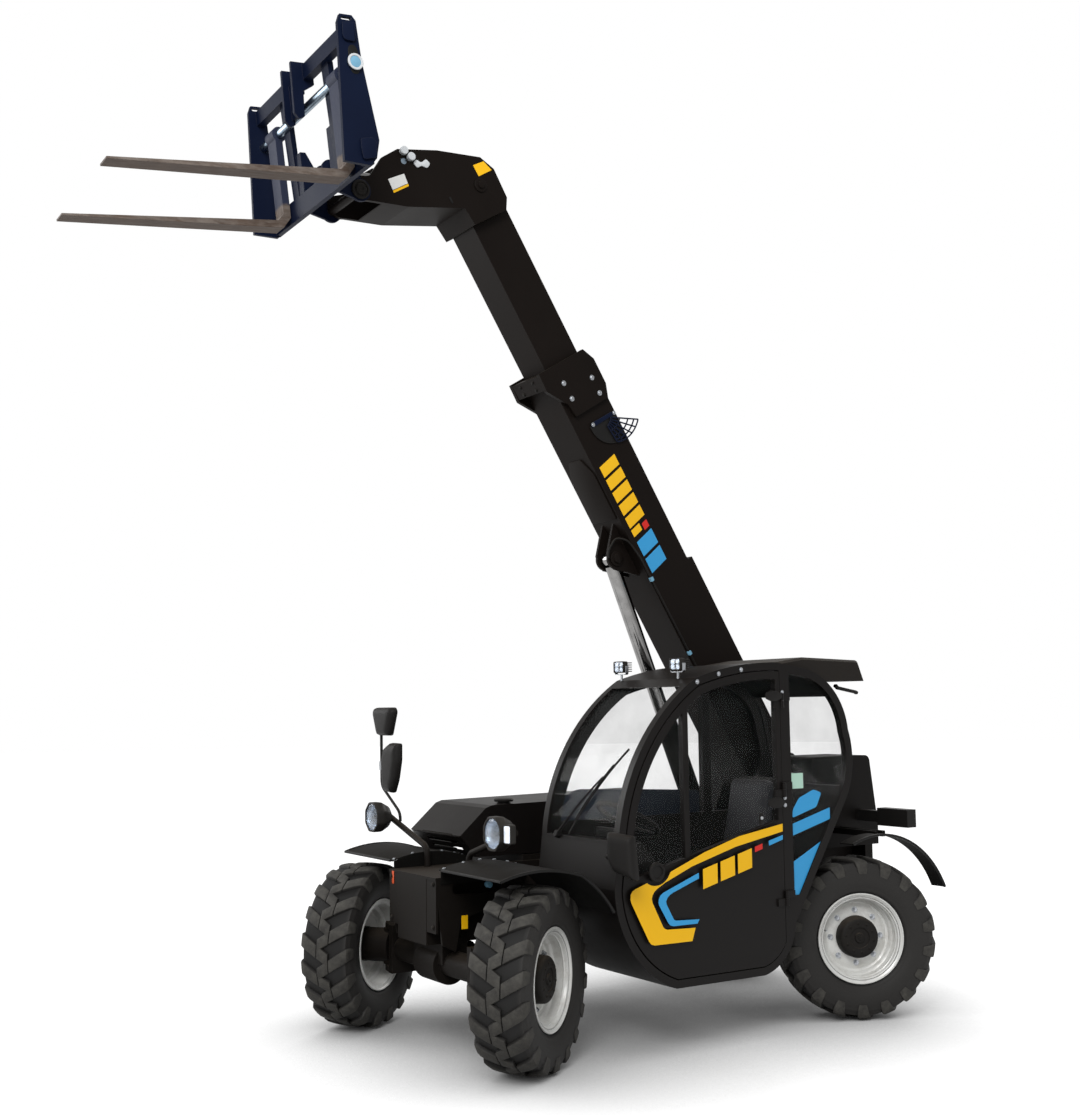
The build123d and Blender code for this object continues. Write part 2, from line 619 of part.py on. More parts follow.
with BuildPart() as door:
    door_face = CAB_OUT + DOOR_PROUD
    plate(door_side, door_face - DOOR_THICK, DOOR_THICK)
    plate(door_window, CAB_OUT - DOOR_THICK - 5, DOOR_THICK + 10, Mode.SUBTRACT)
    bar_z = (WAIST + 1700) / 2
    with Locations((door_face - DOOR_THICK / 2, DOOR_BAR_Y, bar_z)):
        Box(DOOR_THICK, DOOR_BAR, 780)
    plate(door_side, door_face - DOOR_THICK, DOOR_THICK, Mode.INTERSECT)
    for z in HINGE_HEIGHTS:
        with Locations((HINGE_X, HINGE_Y, z - HINGE_FACE_GAP)):
            Cylinder(HINGE_R, HINGE_TALL)
        with Locations(((HINGE_X + door_face - 1) / 2, HINGE_Y - STRAP / 2, z - HINGE_FACE_GAP)):
            Box(HINGE_X - door_face + 1, STRAP, HINGE_TALL)
        with Locations((HINGE_X, HINGE_Y, z)):
            Cylinder(HINGE_PIN_R + PIN_FIT, HINGE_TALL + 10, mode=Mode.SUBTRACT)
write("door", door.part)

with BuildSketch() as door_pane:
    add(door_window.sketch)
    with Locations((DOOR_BAR_Y, 1400)):
        Rectangle(DOOR_BAR, 2000, mode=Mode.SUBTRACT)
    offset(amount=-SEAT, mode=Mode.REPLACE)
with BuildPart() as door_glass:
    plate(door_pane, CAB_OUT - GLASS_IN - GLASS, GLASS)
write("door_glass", door_glass.part)

with BuildPart() as roof_cap:
    with BuildSketch(SIDE.offset(CAB_IN + 20)):
        with BuildLine():
            Polyline((ROOF_CAP_FRONT, 2010), (ROOF_CAP_FRONT + 20, 2036), (684, 2064),
                     (ROOF_CAP_REAR - 50, 2050), (ROOF_CAP_REAR, 1929), (780, 1929), (600, 1960),
                     close=True)
        make_face()
    extrude(amount=CAB_OUT - CAB_IN - 60)
    fillet(roof_cap.edges().filter_by(Axis.X).filter_by_position(Axis.Y, 600, 1300)
           .filter_by_position(Axis.Z, 2000, 2100), 30)
    chamfer(roof_cap.faces().filter_by(Axis.X).edges().filter_by_position(Axis.Y, 500, 1300)
            .filter_by_position(Axis.Z, 1990, 2100), 14)
    plate(cab_side, CAB_IN - 5, CAB_OUT - CAB_IN + 10, Mode.SUBTRACT)
write("roof_cap", roof_cap.part)


# ================================================================ boom
def boom_box(low, high, half, back, front):
    """A square block in the boom's directions: v from low to high, u from back to front."""
    with BuildSketch(BOOM.offset(-half)) as face:
        with Locations(((back + front) / 2, (low + high) / 2)):
            Rectangle(front - back, high - low)
    return face.sketch


with BuildPart() as outer_boom:
    extrude(boom_box(OUTER_LOW, OUTER_HIGH, OUTER_HALF, OUTER_BACK, OUTER_FRONT), amount=2 * OUTER_HALF)
    extrude(boom_box(OUTER_HIGH - 5, OUTER_REAR_HIGH, OUTER_HALF, OUTER_BACK, OUTER_STEP),
            amount=2 * OUTER_HALF)
    extrude(boom_box(OUTER_LOW + OUTER_WALL, OUTER_HIGH - OUTER_WALL, OUTER_HALF - OUTER_WALL,
                     OUTER_BACK + 330, OUTER_FRONT + 5), amount=2 * (OUTER_HALF - OUTER_WALL),
            mode=Mode.SUBTRACT)
    # collar plates round the mouth
    for x in (OUTER_HALF, -OUTER_HALF - COLLAR_PLATE):
        with BuildSketch(BOOM.offset(-x - COLLAR_PLATE)):
            with BuildLine():
                Polyline((2480, 50), (2560, 82), (2720, 82), (2800, 40), (2800, -318), (2690, -322),
                         (2560, -225), (2480, -215), close=True)
            make_face()
        extrude(amount=COLLAR_PLATE)
    extrude(boom_box(-318, OUTER_LOW, OUTER_HALF + 1, 2700, 2790), amount=2 * OUTER_HALF + 2)
    # wear pads round the mouth, which the inner boom slides on
    with BuildSketch(BOOM.offset(-OUTER_HALF + OUTER_WALL - 1)):
        with Locations(((OUTER_FRONT + PAD_BACK) / 2, (OUTER_LOW + OUTER_HIGH) / 2)):
            Rectangle(OUTER_FRONT - PAD_BACK, OUTER_HIGH - OUTER_LOW - 2 * OUTER_WALL + 2)
    extrude(amount=2 * (OUTER_HALF - OUTER_WALL) + 2)
    extrude(boom_box(INNER_LOW - SEAT, INNER_HIGH + SEAT, INNER_HALF + SEAT, PAD_BACK - 5,
                     OUTER_FRONT + 20), amount=2 * (INNER_HALF + SEAT), mode=Mode.SUBTRACT)
    # cheeks that hold the lift cylinder's eye
    for side in (1, -1):
        x = side * CHEEK_GAP if side > 0 else -CHEEK_GAP - CHEEK_THICK
        with BuildSketch(BOOM.offset(-x - CHEEK_THICK)):
            with BuildLine():
                Polyline((EYE_U - 170, OUTER_LOW + 2), (EYE_U - 48, EYE_V - 45), (EYE_U + 50, EYE_V - 45),
                         (EYE_U + 190, OUTER_LOW + 2), close=True)
            make_face()
            with Locations((EYE_U, EYE_V)):
                Circle(62)
        extrude(amount=CHEEK_THICK)
    # bore for the boom's pivot pin
    with BuildSketch(SIDE.offset(-OUTER_HALF - 10)):
        with Locations((PIVOT_Y, PIVOT_Z)):
            Circle(PIVOT_PIN_R + PIN_FIT)
    extrude(amount=2 * OUTER_HALF + 20, mode=Mode.SUBTRACT)
write("outer_boom", outer_boom.part)

with BuildPart() as inner_boom:
    extrude(boom_box(INNER_LOW, INNER_HIGH, INNER_HALF, INNER_BACK, HEAD_BACK + 40),
            amount=2 * INNER_HALF)
    extrude(boom_box(INNER_LOW + INNER_WALL, INNER_HIGH - INNER_WALL, INNER_HALF - INNER_WALL,
                     INNER_BACK - 5, HEAD_BACK + 60), amount=2 * (INNER_HALF - INNER_WALL),
            mode=Mode.SUBTRACT)
write("inner_boom", inner_boom.part)

with BuildSketch() as head_side:
    with BuildLine():
        Polyline((HEAD_BACK, -10), (HEAD_BACK + 60, 32), (TILT_BASE_U + 50, 38),
                 (TILT_U - 98, TILT_V + 820), (TILT_U + 30, TILT_V + 576), (TILT_U + 120, TILT_V + 344),
                 (TILT_U + 112, TILT_V + 232), (TILT_U + 50, TILT_V + 112), (TILT_U + 72, TILT_V + 20))
        RadiusArc((TILT_U + 72, TILT_V + 20), (TILT_U - 66, TILT_V + 34), HEAD_NOSE_R)
        Polyline((TILT_U - 66, TILT_V + 34), (TILT_U - 182, TILT_V + 242), (HEAD_BACK + 105, -262),
                 (HEAD_BACK, -250), (HEAD_BACK, -10))
    make_face()
with BuildSketch() as head_hollow:
    with BuildLine():
        Polyline((HEAD_BACK + 250, -20), (TILT_U - 108, TILT_V + 790), (TILT_U + 10, TILT_V + 566),
                 (TILT_U + 380, TILT_V + 352), (TILT_U + 380, TILT_V - 368), (TILT_U - 100, TILT_V - 368),
                 (TILT_U - 90, TILT_V + 72), (TILT_U - 165, TILT_V + 232), (HEAD_BACK + 135, -280),
                 (HEAD_BACK + 90, -240), (HEAD_BACK + 90, -40), close=True)
    make_face()
with BuildPart() as boom_head:
    extrude(BOOM.offset(-HEAD_HALF) * head_side.sketch, amount=2 * HEAD_HALF)
    extrude(BOOM.offset(-HEAD_HALF + HEAD_PLATE) * head_hollow.sketch,
            amount=2 * (HEAD_HALF - HEAD_PLATE), mode=Mode.SUBTRACT)
    extrude(boom_box(INNER_LOW - SEAT, INNER_HIGH + SEAT, INNER_HALF + SEAT, INNER_BACK,
                     HEAD_BACK + 40 + SEAT), amount=2 * (INNER_HALF + SEAT), mode=Mode.SUBTRACT)
    for pin_u, pin_v, pin_out in ((TILT_U, TILT_V, HEAD_PIN_OUT), (TILT_BASE_U, TILT_BASE_V, 0)):
        with BuildSketch(BOOM.offset(-HEAD_HALF - pin_out)):
            with Locations((pin_u, pin_v)):
                Circle(TILT_PIN_R)
        extrude(amount=2 * (HEAD_HALF + pin_out))
write("boom_head", boom_head.part)


# ================================================================ cylinders
def cylinder_pair(barrel_name, rod_name, base, eye, sizes):
    """A barrel with its lower eye round a pin, and a rod whose eye stands open at the far pin.

    base and eye are (y, z); sizes holds the radii and lengths by name.
    """
    reach = hypot(eye[0] - base[0], eye[1] - base[1])
    along = Plane(origin=(0, *base), z_dir=(0, (eye[0] - base[0]) / reach, (eye[1] - base[1]) / reach),
                  x_dir=(1, 0, 0))
    with BuildPart() as barrel:
        with BuildSketch(along.offset(sizes["eye"] - 6)):
            Circle(sizes["barrel"])
        extrude(amount=sizes["length"] - sizes["eye"] + 6)
        with BuildSketch(SIDE.offset(-sizes["width"] / 2)):
            with Locations(base):
                Circle(sizes["eye"])
        extrude(amount=sizes["width"])
        with BuildSketch(along.offset(sizes["eye"] + 30)):
            Circle(sizes["bore"])
        extrude(amount=sizes["length"], mode=Mode.SUBTRACT)
        with BuildSketch(along.offset(sizes["length"] - 2)):
            Circle(sizes["barrel"])
            Circle(sizes["rod"] + PIN_FIT, mode=Mode.SUBTRACT)
        extrude(amount=26)
        with BuildSketch(SIDE.offset(-sizes["width"] / 2 - 5)):
            with Locations(base):
                Circle(sizes["pin"] + PIN_FIT)
        extrude(amount=sizes["width"] + 10, mode=Mode.SUBTRACT)
    write(barrel_name, barrel.part)
    with BuildPart() as rod:
        with BuildSketch(along.offset(sizes["inside"])):
            Circle(sizes["rod"])
        extrude(amount=reach - sizes["inside"] - sizes["eye"] + 4)
        with BuildSketch(SIDE.offset(-sizes["eye_width"] / 2)):
            with Locations(eye):
                Circle(sizes["eye"])
        extrude(amount=sizes["eye_width"])
    write(rod_name, rod.part)


cylinder_pair("lift_barrel", "lift_rod", (BASE_Y, BASE_Z), boom_point(EYE_U, EYE_V),
              {"barrel": LIFT_BARREL_R, "bore": LIFT_BORE_R, "rod": LIFT_ROD_R, "eye": EYE_R,
               "length": LIFT_BARREL, "width": 90, "eye_width": 2 * CHEEK_GAP - 2 * MOVE_GAP,
               "pin": LIFT_PIN_R, "inside": 1060})
arm = radians(TILT_ARM_ANGLE)
cylinder_pair("tilt_barrel", "tilt_rod", (boom_point(TILT_BASE_U, TILT_BASE_V)),
              boom_point(TILT_U + TILT_ARM * cos(arm), TILT_V + TILT_ARM * sin(arm)),
              {"barrel": TILT_BARREL_R, "bore": TILT_BORE_R, "rod": TILT_ROD_R, "eye": TILT_EYE_R,
               "length": TILT_BARREL, "width": 80, "eye_width": 60, "pin": TILT_PIN_R, "inside": 390})

# ================================================================ fork carriage
# sketches are (t, s): t forward of the carriage's pivot, s up the fork's shank
def fork_plate(outline, x, thick, mode=Mode.ADD):
    """A plate of a (t, s) outline from x to x - thick, for the part being built."""
    extrude(FORK.offset(-x) * outline, amount=thick, dir=(-1, 0, 0), mode=mode)


def block(t_low, t_high, s_low, s_high):
    """A rectangle sketch between two corners in (t, s)."""
    with BuildSketch() as outline:
        with Locations(((t_low + t_high) / 2, (s_low + s_high) / 2)):
            Rectangle(t_high - t_low, s_high - s_low)
    return outline.sketch


with BuildSketch() as carriage_side:
    with BuildLine():
        Polyline((83, 103), (132, 506), (140, CARRIAGE_HIGH - 26), (160, CARRIAGE_HIGH),
                 (226, CARRIAGE_HIGH), (243, CARRIAGE_HIGH - 40), (289, -16), (144, -30), (108, 9),
                 close=True)
    make_face()
    with Locations((192, CARRIAGE_HIGH - 20)):
        SlotOverall(58, 16, mode=Mode.SUBTRACT)

with BuildPart() as carriage:
    for x in (CARRIAGE_HALF, -CARRIAGE_HALF + SIDE_PLATE):
        fork_plate(carriage_side.sketch, x, SIDE_PLATE)
    beam = block(BEAM_BACK, BEAM_BACK + BEAM_DEEP, BEAM_LOW, BEAM_HIGH)
    fork_plate(beam, CARRIAGE_HALF - 1, 2 * CARRIAGE_HALF - 2)
    fork_plate(block(125, 155, -20, SILL_HIGH), CARRIAGE_HALF - 1, 2 * CARRIAGE_HALF - 2)
    # uprights behind the forks, with a rib on each to the sill
    with BuildSketch() as upright:
        with BuildLine():
            Polyline((125, 0), (150, 0), (172, BEAM_LOW + 5), (140, BEAM_LOW + 5), close=True)
        make_face()
    for side in (1, -1):
        fork_plate(upright.sketch, side * UPRIGHT_X + UPRIGHT_WIDE / 2, UPRIGHT_WIDE)
    # the pair of cheeks that carry the pivot, and a web from each to its upright
    with BuildSketch() as cheek:
        with BuildLine():
            Polyline((0, -60), (150, -10), (150, 320), (118, 320), (-20, 50), close=True)
        make_face()
        Circle(62)
        Circle(TILT_PIN_R + PIN_FIT, mode=Mode.SUBTRACT)
    web_wide = UPRIGHT_X - UPRIGHT_WIDE / 2 - CHEEK_OUT + CHEEK_THICK + 5
    for side in (1, -1):
        cheek_left = CHEEK_OUT if side > 0 else CHEEK_THICK - CHEEK_OUT
        fork_plate(cheek.sketch, cheek_left, CHEEK_THICK)
        web_left = CHEEK_OUT - CHEEK_THICK + web_wide if side > 0 else CHEEK_THICK - CHEEK_OUT
        fork_plate(block(132, 150, SILL_HIGH - 5, 320), web_left, web_wide)
    # lugs that hold the tilt rod's eye
    eye_t, eye_s, _ = FORK.to_local_coords(
        Vector(0, *boom_point(TILT_U + TILT_ARM * cos(arm), TILT_V + TILT_ARM * sin(arm))))
    with BuildSketch() as lug:
        with BuildLine():
            Polyline((eye_t - 44, eye_s - 14), (104, 0), (140, -15), (150, SILL_HIGH - 10),
                     (eye_t + 40, eye_s + 20), close=True)
        make_face()
        with Locations((eye_t, eye_s)):
            Circle(48)
    for x in (TILT_CHEEK_GAP + CHEEK_THICK, -TILT_CHEEK_GAP):
        fork_plate(lug.sketch, x, CHEEK_THICK)
    # hooks over the middle of the beam, with a plate across their front
    with BuildSketch() as hook:
        with BuildLine():
            Polyline((BEAM_BACK - 10, BEAM_HIGH + 14), (262, BEAM_HIGH + 14), (272, 436), (246, 404),
                     (214, 420), (206, BEAM_LOW - 60), (BEAM_BACK - 10, BEAM_LOW - 20), close=True)
        make_face()
    for x in (HOOK_OUT, HOOK_THICK - HOOK_OUT):
        fork_plate(hook.sketch, x, HOOK_THICK)
    fork_plate(block(216, 230, 440, BEAM_LOW + 10), HOOK_OUT - 1, 2 * HOOK_OUT - 2)
    with BuildSketch() as bore:
        with Locations((SHAFT_T, SHAFT_S)):
            Circle(SHAFT_R + SEAT)
    fork_plate(bore.sketch, CARRIAGE_HALF + 10, 2 * CARRIAGE_HALF + 20, Mode.SUBTRACT)
write("carriage", carriage.part)

with BuildPart() as shaft:
    with BuildSketch() as round_bar:
        with Locations((SHAFT_T, SHAFT_S)):
            Circle(SHAFT_R)
    fork_plate(round_bar.sketch, CARRIAGE_HALF + SHAFT_OUT, 2 * (CARRIAGE_HALF + SHAFT_OUT))
    with BuildSketch() as collar:
        with Locations((SHAFT_T, SHAFT_S)):
            Circle(SHAFT_COLLAR_R)
    for x in (CARRIAGE_HALF + SHAFT_OUT, -CARRIAGE_HALF - SEAT):
        fork_plate(collar.sketch, x, SHAFT_OUT - SEAT)
write("fork_shaft", shaft.part)

with BuildSketch() as blade:
    back = FORK_SHANK_T
    heel = FORK_LOW + FORK_THICK
    with BuildLine():
        Polyline((back, FORK_LOW + 60), (back, FORK_SHANK_TOP), (back + FORK_THICK, FORK_SHANK_TOP),
                 (back + FORK_THICK, heel + 38), (back + FORK_THICK + 34, heel),
                 (FORK_END_T, FORK_LOW + FORK_TIP), (FORK_END_T, FORK_LOW), (back + 50, FORK_LOW),
                 close=True)
    make_face()
    with Locations((SHAFT_T, SHAFT_S)):
        Circle(SHAFT_R + FORK_EYE_WALL)
        Circle(SHAFT_R + SEAT, mode=Mode.SUBTRACT)
for name, x in (("fork_left", FORK_X), ("fork_right", -FORK_X)):
    with BuildPart() as fork:
        fork_plate(blade.sketch, x + FORK_WIDTH / 2, FORK_WIDTH)
    write(name, fork.part)

# ================================================================ engine side
with BuildSketch() as hood_side:
    with BuildLine():
        Polyline((HOOD_FRONT, HOOD_LOW), (HOOD_FRONT - 105, 1084), (HOOD_FRONT + 63, 1232),
                 (HOOD_FRONT + 103, HOOD_TOP), (HOOD_REAR - 140, HOOD_TOP + 20),
                 (HOOD_REAR - 60, 1200), (HOOD_REAR, HOOD_LOW), close=True)
    make_face()
with BuildSketch() as hood_inner:
    add(hood_side.sketch)
    offset(amount=-HOOD_WALL, mode=Mode.REPLACE)
    with Locations(((HOOD_FRONT + HOOD_REAR) / 2, HOOD_LOW)):
        Rectangle(HOOD_REAR - HOOD_FRONT - 2.6 * HOOD_WALL, 4 * HOOD_WALL)
with BuildPart() as hood:
    hood_wide = BAY_IN - MOVE_GAP - HOOD_OUT
    plate(hood_side, HOOD_OUT, hood_wide)
    plate(hood_inner, HOOD_OUT + HOOD_WALL, hood_wide - 2 * HOOD_WALL, Mode.SUBTRACT)
    for z in (1000, 1040, 1080):
        with Locations((HOOD_OUT + 330, -900, z)):
            Box(360, 200, 16, mode=Mode.SUBTRACT)
    for index in range(9):
        with Locations((HOOD_OUT, -440 + index * 110, 1100)):
            Box(60, 60, 150, mode=Mode.SUBTRACT)
    for x in HOOD_HINGES:
        with BuildSketch(SIDE.offset(x + HOOD_LUG / 2 + 1)):
            with Locations((HOOD_HINGE_Y, HOOD_HINGE_Z)):
                Circle(HOOD_LUG_R)
            with Locations((HOOD_HINGE_Y - 9, HOOD_HINGE_Z + 16)):
                Rectangle(26, 26)
        extrude(amount=HOOD_LUG)
        with BuildSketch(SIDE.offset(x)):
            with Locations((HOOD_HINGE_Y, HOOD_HINGE_Z)):
                Circle(HINGE_PIN_R + PIN_FIT)
        extrude(amount=3 * HOOD_LUG, mode=Mode.SUBTRACT)
write("hood", hood.part)

with BuildPart() as engine_bay:
    bay_mid = (BAY_FRONT + BAY_REAR) / 2
    bay_long = BAY_REAR - BAY_FRONT
    bay_wide = BAY_IN - BAY_OUT
    with Locations(((BAY_IN + BAY_OUT) / 2, bay_mid, (BAY_LOW + HOOD_LOW - MOVE_GAP) / 2)):
        Box(bay_wide, bay_long, HOOD_LOW - MOVE_GAP - BAY_LOW)
    with Locations(((BAY_IN + BAY_OUT) / 2, bay_mid, (BAY_LOW + HOOD_LOW) / 2 + BAY_WALL)):
        Box(bay_wide - 2 * BAY_WALL, bay_long - 2 * BAY_WALL, HOOD_LOW - BAY_LOW, mode=Mode.SUBTRACT)
    for side_y in (-300, 0, 300):
        with Locations((BAY_OUT, side_y, 700)):
            Box(40, 220, 300, mode=Mode.SUBTRACT)
    for x in HOOD_HINGES:
        with BuildSketch(SIDE.offset(x - HOOD_LUG / 2)):
            with Locations((HOOD_HINGE_Y, HOOD_HINGE_Z)):
                Circle(HOOD_LUG_R)
            with BuildLine():
                Polyline((BAY_REAR - 2, HOOD_HINGE_Z - 60), (BAY_REAR - 2, HOOD_HINGE_Z - 20),
                         (HOOD_HINGE_Y - 20, HOOD_HINGE_Z - 8), (HOOD_HINGE_Y + 9, HOOD_HINGE_Z - 6),
                         (HOOD_HINGE_Y, HOOD_HINGE_Z - 14), close=True)
            make_face()
        extrude(amount=HOOD_LUG)
        with BuildSketch(SIDE.offset(x)):
            with Locations((HOOD_HINGE_Y, HOOD_HINGE_Z)):
                Circle(HINGE_PIN_R)
        extrude(amount=1.5 * HOOD_LUG + 6)
write("engine_bay", engine_bay.part)

with BuildPart() as engine:
    with Locations(((BAY_IN + BAY_OUT) / 2 + 30, 0, BAY_LOW + BAY_WALL + SEAT + ENGINE_TALL / 2)):
        Box(ENGINE_WIDE, ENGINE_LONG, ENGINE_TALL)
write("engine_block", engine.part)

# ================================================================ mudguards
def arched_sheet(middle, radius, thick, start, end):
    """A (y, z) sketch of a bent sheet: angles from the rear, turning up and forward."""
    with BuildSketch() as sheet:
        with BuildLine():
            inside = CenterArc(middle, radius, start, end - start)
            outside = CenterArc(middle, radius + thick, start, end - start)
            Line(inside @ 0, outside @ 0)
            Line(inside @ 1, outside @ 1)
        make_face()
    return sheet


def arch_place(radius, angle):
    """A (y, z) place at an angle from the rear, round the front axle."""
    return FRONT_Y + radius * cos(radians(angle)), AXLE_Z + radius * sin(radians(angle))


# from the rear: an arc round the tyre, a fold, and a nearly flat sheet over its top
arch_fold = arch_place(GUARD_R, ARCH_FOLD)
outer_fold = arch_place(GUARD_R + GUARD_THICK, ARCH_FOLD)
with BuildSketch() as front_arch:
    with BuildLine():
        middle = (FRONT_Y, AXLE_Z)
        inside = CenterArc(middle, GUARD_R, ARCH_FOOT, ARCH_FOLD - ARCH_FOOT)
        outside = CenterArc(middle, GUARD_R + GUARD_THICK, ARCH_FOOT, ARCH_FOLD - ARCH_FOOT)
        Line(inside @ 0, outside @ 0)
        ThreePointArc(arch_fold, (ARCH_CREST_Y, ARCH_CREST), (ARCH_FRONT, ARCH_NOSE_Z))
        ThreePointArc(outer_fold, (ARCH_CREST_Y, ARCH_CREST + GUARD_THICK),
                      (ARCH_FRONT, ARCH_NOSE_Z + GUARD_THICK))
        Line((ARCH_FRONT, ARCH_NOSE_Z), (ARCH_FRONT, ARCH_NOSE_Z + GUARD_THICK))
    make_face()
with BuildSketch() as arch_web:
    web_foot = FRAME_HIGH - 35
    web_rear = arch_place(GUARD_R + 1, ARCH_FOLD - 7)
    with BuildLine():
        ThreePointArc((arch_fold[0], arch_fold[1] + 1), (ARCH_CREST_Y, ARCH_CREST + 1),
                      (ARCH_FRONT + 10, ARCH_NOSE_Z + 1))
        Polyline((ARCH_FRONT + 10, ARCH_NOSE_Z + 1), (ARCH_FRONT + 10, web_foot),
                 (web_rear[0], web_foot), web_rear, (arch_fold[0], arch_fold[1] + 1))
    make_face()
with BuildPart() as front_guards:
    for side in (1, -1):
        plate(front_arch, NOSE_HALF + SEAT if side > 0 else -GUARD_OUT, GUARD_OUT - NOSE_HALF - SEAT)
        plate(arch_web, NOSE_HALF + SEAT if side > 0 else -NOSE_HALF - SEAT - GUARD_THICK, GUARD_THICK)
write("front_guards", front_guards.part)

rear_arch = arched_sheet((REAR_Y, AXLE_Z), REAR_GUARD_R, GUARD_THICK, 25, 112)
with BuildPart() as rear_guards:
    for side in (1, -1):
        plate(rear_arch, REAR_GUARD_IN if side > 0 else -GUARD_OUT, GUARD_OUT - REAR_GUARD_IN)
        arm_z = AXLE_Z + REAR_GUARD_R + 12
        for arm_y in (REAR_Y + 30, REAR_Y + 90):
            with Locations((side * (TANK_OUT + SEAT + GUARD_OUT - 60) / 2, arm_y, arm_z - 10)):
                Box(GUARD_OUT - 60 - TANK_OUT - SEAT, 24, 34)
write("rear_guards", rear_guards.part)

# ================================================================ tanks behind the cab and the engine
for name, side in (("hydraulic_tank", 1), ("fuel_tank", -1)):
    with BuildPart() as tank:
        with BuildSketch(SIDE.offset(FRAME_HALF + SEAT if side > 0 else -TANK_OUT)):
            with BuildLine():
                Polyline((TANK_FRONT, TANK_LOW), (TANK_FRONT, TANK_HIGH), (TANK_REAR - 60, TANK_HIGH),
                         (TANK_REAR, TANK_LOW + 120), (TANK_REAR, TANK_LOW), close=True)
            make_face()
        extrude(amount=TANK_OUT - FRAME_HALF - SEAT)
        fillet(tank.edges().filter_by(Axis.X).group_by(Axis.Z)[-1], 40)
    write(name, tank.part)

# ================================================================ lamps
with BuildPart() as head_lamps:
    for side in (1, -1):
        with BuildSketch(Plane.XZ.offset(-LAMP_Y)):
            with Locations((side * LAMP_X, LAMP_Z)):
                RegularPolygon(LAMP_R, 8, rotation=22.5)
        extrude(amount=-LAMP_DEPTH, taper=14)
        with BuildSketch(Plane.XZ.offset(-LAMP_Y)):
            with Locations((side * LAMP_X, LAMP_Z)):
                RegularPolygon(LAMP_R, 8, rotation=22.5)
        extrude(amount=50)
        with BuildSketch(Plane.XZ.offset(-LAMP_Y + 50)):
            with Locations((side * LAMP_X, LAMP_Z)):
                Circle(LAMP_R - 16)
        extrude(amount=6)
write("head_lamps", head_lamps.part)

with BuildPart() as lamp_brackets:
    for side in (1, -1):
        bracket_y = LAMP_Y + LAMP_DEPTH + BRACKET_R + SEAT
        foot_x = side * (NOSE_HALF - 34)
        path = ((foot_x, bracket_y, FRAME_HIGH + SEAT), (foot_x, bracket_y, BRACKET_BEND),
                (side * (LAMP_X + 20), bracket_y, LAMP_Z))
        with BuildLine() as tube:
            FilletPolyline(*path, radius=60)
        with BuildSketch(Plane(origin=path[0], z_dir=(0, 0, 1))):
            RegularPolygon(BRACKET_R, 12)
        sweep(path=tube.wires()[0])
write("lamp_brackets", lamp_brackets.part)

with BuildPart() as tail_lamps:
    for side in (1, -1):
        arm_start = TANK_OUT + SEAT
        with Locations((side * (arm_start + 90), TAIL_Y, TAIL_Z)):
            Box(180, 40, 66)
        with Locations((side * (arm_start + 180 + 120), TAIL_Y + 6, TAIL_Z)):
            Box(240, 72, 104)
write("tail_lamps", tail_lamps.part)

with BuildPart() as roof_lamps:
    for x, y, z in ((760, -128, 1935), (235, -128, 1935)):
        with Locations((x, y + 6, z + 36)):
            Box(26, 20, 46)
        with Locations((x, y - 10, z + 85)):
            Box(92, 70, 66)
    plate(cab_side, CAB_IN - 5, CAB_OUT - CAB_IN + 10, Mode.SUBTRACT)
write("roof_lamps", roof_lamps.part)

# (x, z) outlines of the two mirrors on the right, seen from the front
LOW_MIRROR = ((-738, 1572), (-672, 1602), (-562, 1600), (-562, 1503), (-599, 1389), (-646, 1310),
              (-748, 1317), (-766, 1498))
HIGH_MIRROR = ((-823, 1643), (-681, 1643), (-619, 1795), (-640, 1809), (-865, 1809), (-885, 1795))
with BuildPart() as mirrors:
    bracket_y = LAMP_Y + LAMP_DEPTH + BRACKET_R + SEAT
    climb = (LAMP_Z - BRACKET_BEND) / (LAMP_X + 20 - NOSE_HALF + 34)
    tube_top = BRACKET_BEND + climb * (STALK_FOOT + STALK_R - NOSE_HALF + 34) + BRACKET_R * hypot(1, climb)
    with BuildLine() as stalk:
        FilletPolyline((-STALK_FOOT, bracket_y, tube_top + SEAT), (-STALK_FOOT, bracket_y, 1200),
                       (-MIRROR_X + 8, bracket_y, 1345), (-MIRROR_X, bracket_y, 1790), radius=35)
    with BuildSketch(Plane(origin=stalk.wires()[0] @ 0, z_dir=stalk.wires()[0] % 0)):
        RegularPolygon(STALK_R, 8)
    sweep(path=stalk.wires()[0])
    for outline in (LOW_MIRROR, HIGH_MIRROR):
        with BuildSketch(Plane.XZ.offset(-bracket_y - 10)):
            with BuildLine():
                Polyline(*outline, close=True)
            make_face()
        extrude(amount=MIRROR_DEEP)
    for z in (1400, 1500):
        with Locations((-(MIRROR_X + 750) / 2, bracket_y, z)):
            Box(MIRROR_X - 750, 16, 16)
    with BuildLine() as left_arm:
        FilletPolyline((CAB_OUT - 60, -640, 1040), (CAB_OUT - 50, -725, 1040), (CAB_OUT + 60, -745, 1060),
                       radius=20)
    with BuildSketch(Plane(origin=left_arm.wires()[0] @ 0, z_dir=left_arm.wires()[0] % 0)):
        RegularPolygon(11, 8)
    sweep(path=left_arm.wires()[0])
    with BuildSketch(Plane.XY.offset(935)):
        with Locations(Location((LEFT_MIRROR_X, -712, 0), (0, 0, MIRROR_TURN))):
            Rectangle(170, MIRROR_DEEP)
    extrude(amount=236)
    fillet(mirrors.edges().filter_by(Axis.Z).filter_by_position(Axis.X, CAB_OUT, 1200), 14)
    plate(cab_side, CAB_IN - 5, CAB_OUT - CAB_IN + 10, Mode.SUBTRACT)
write("mirrors", mirrors.part)

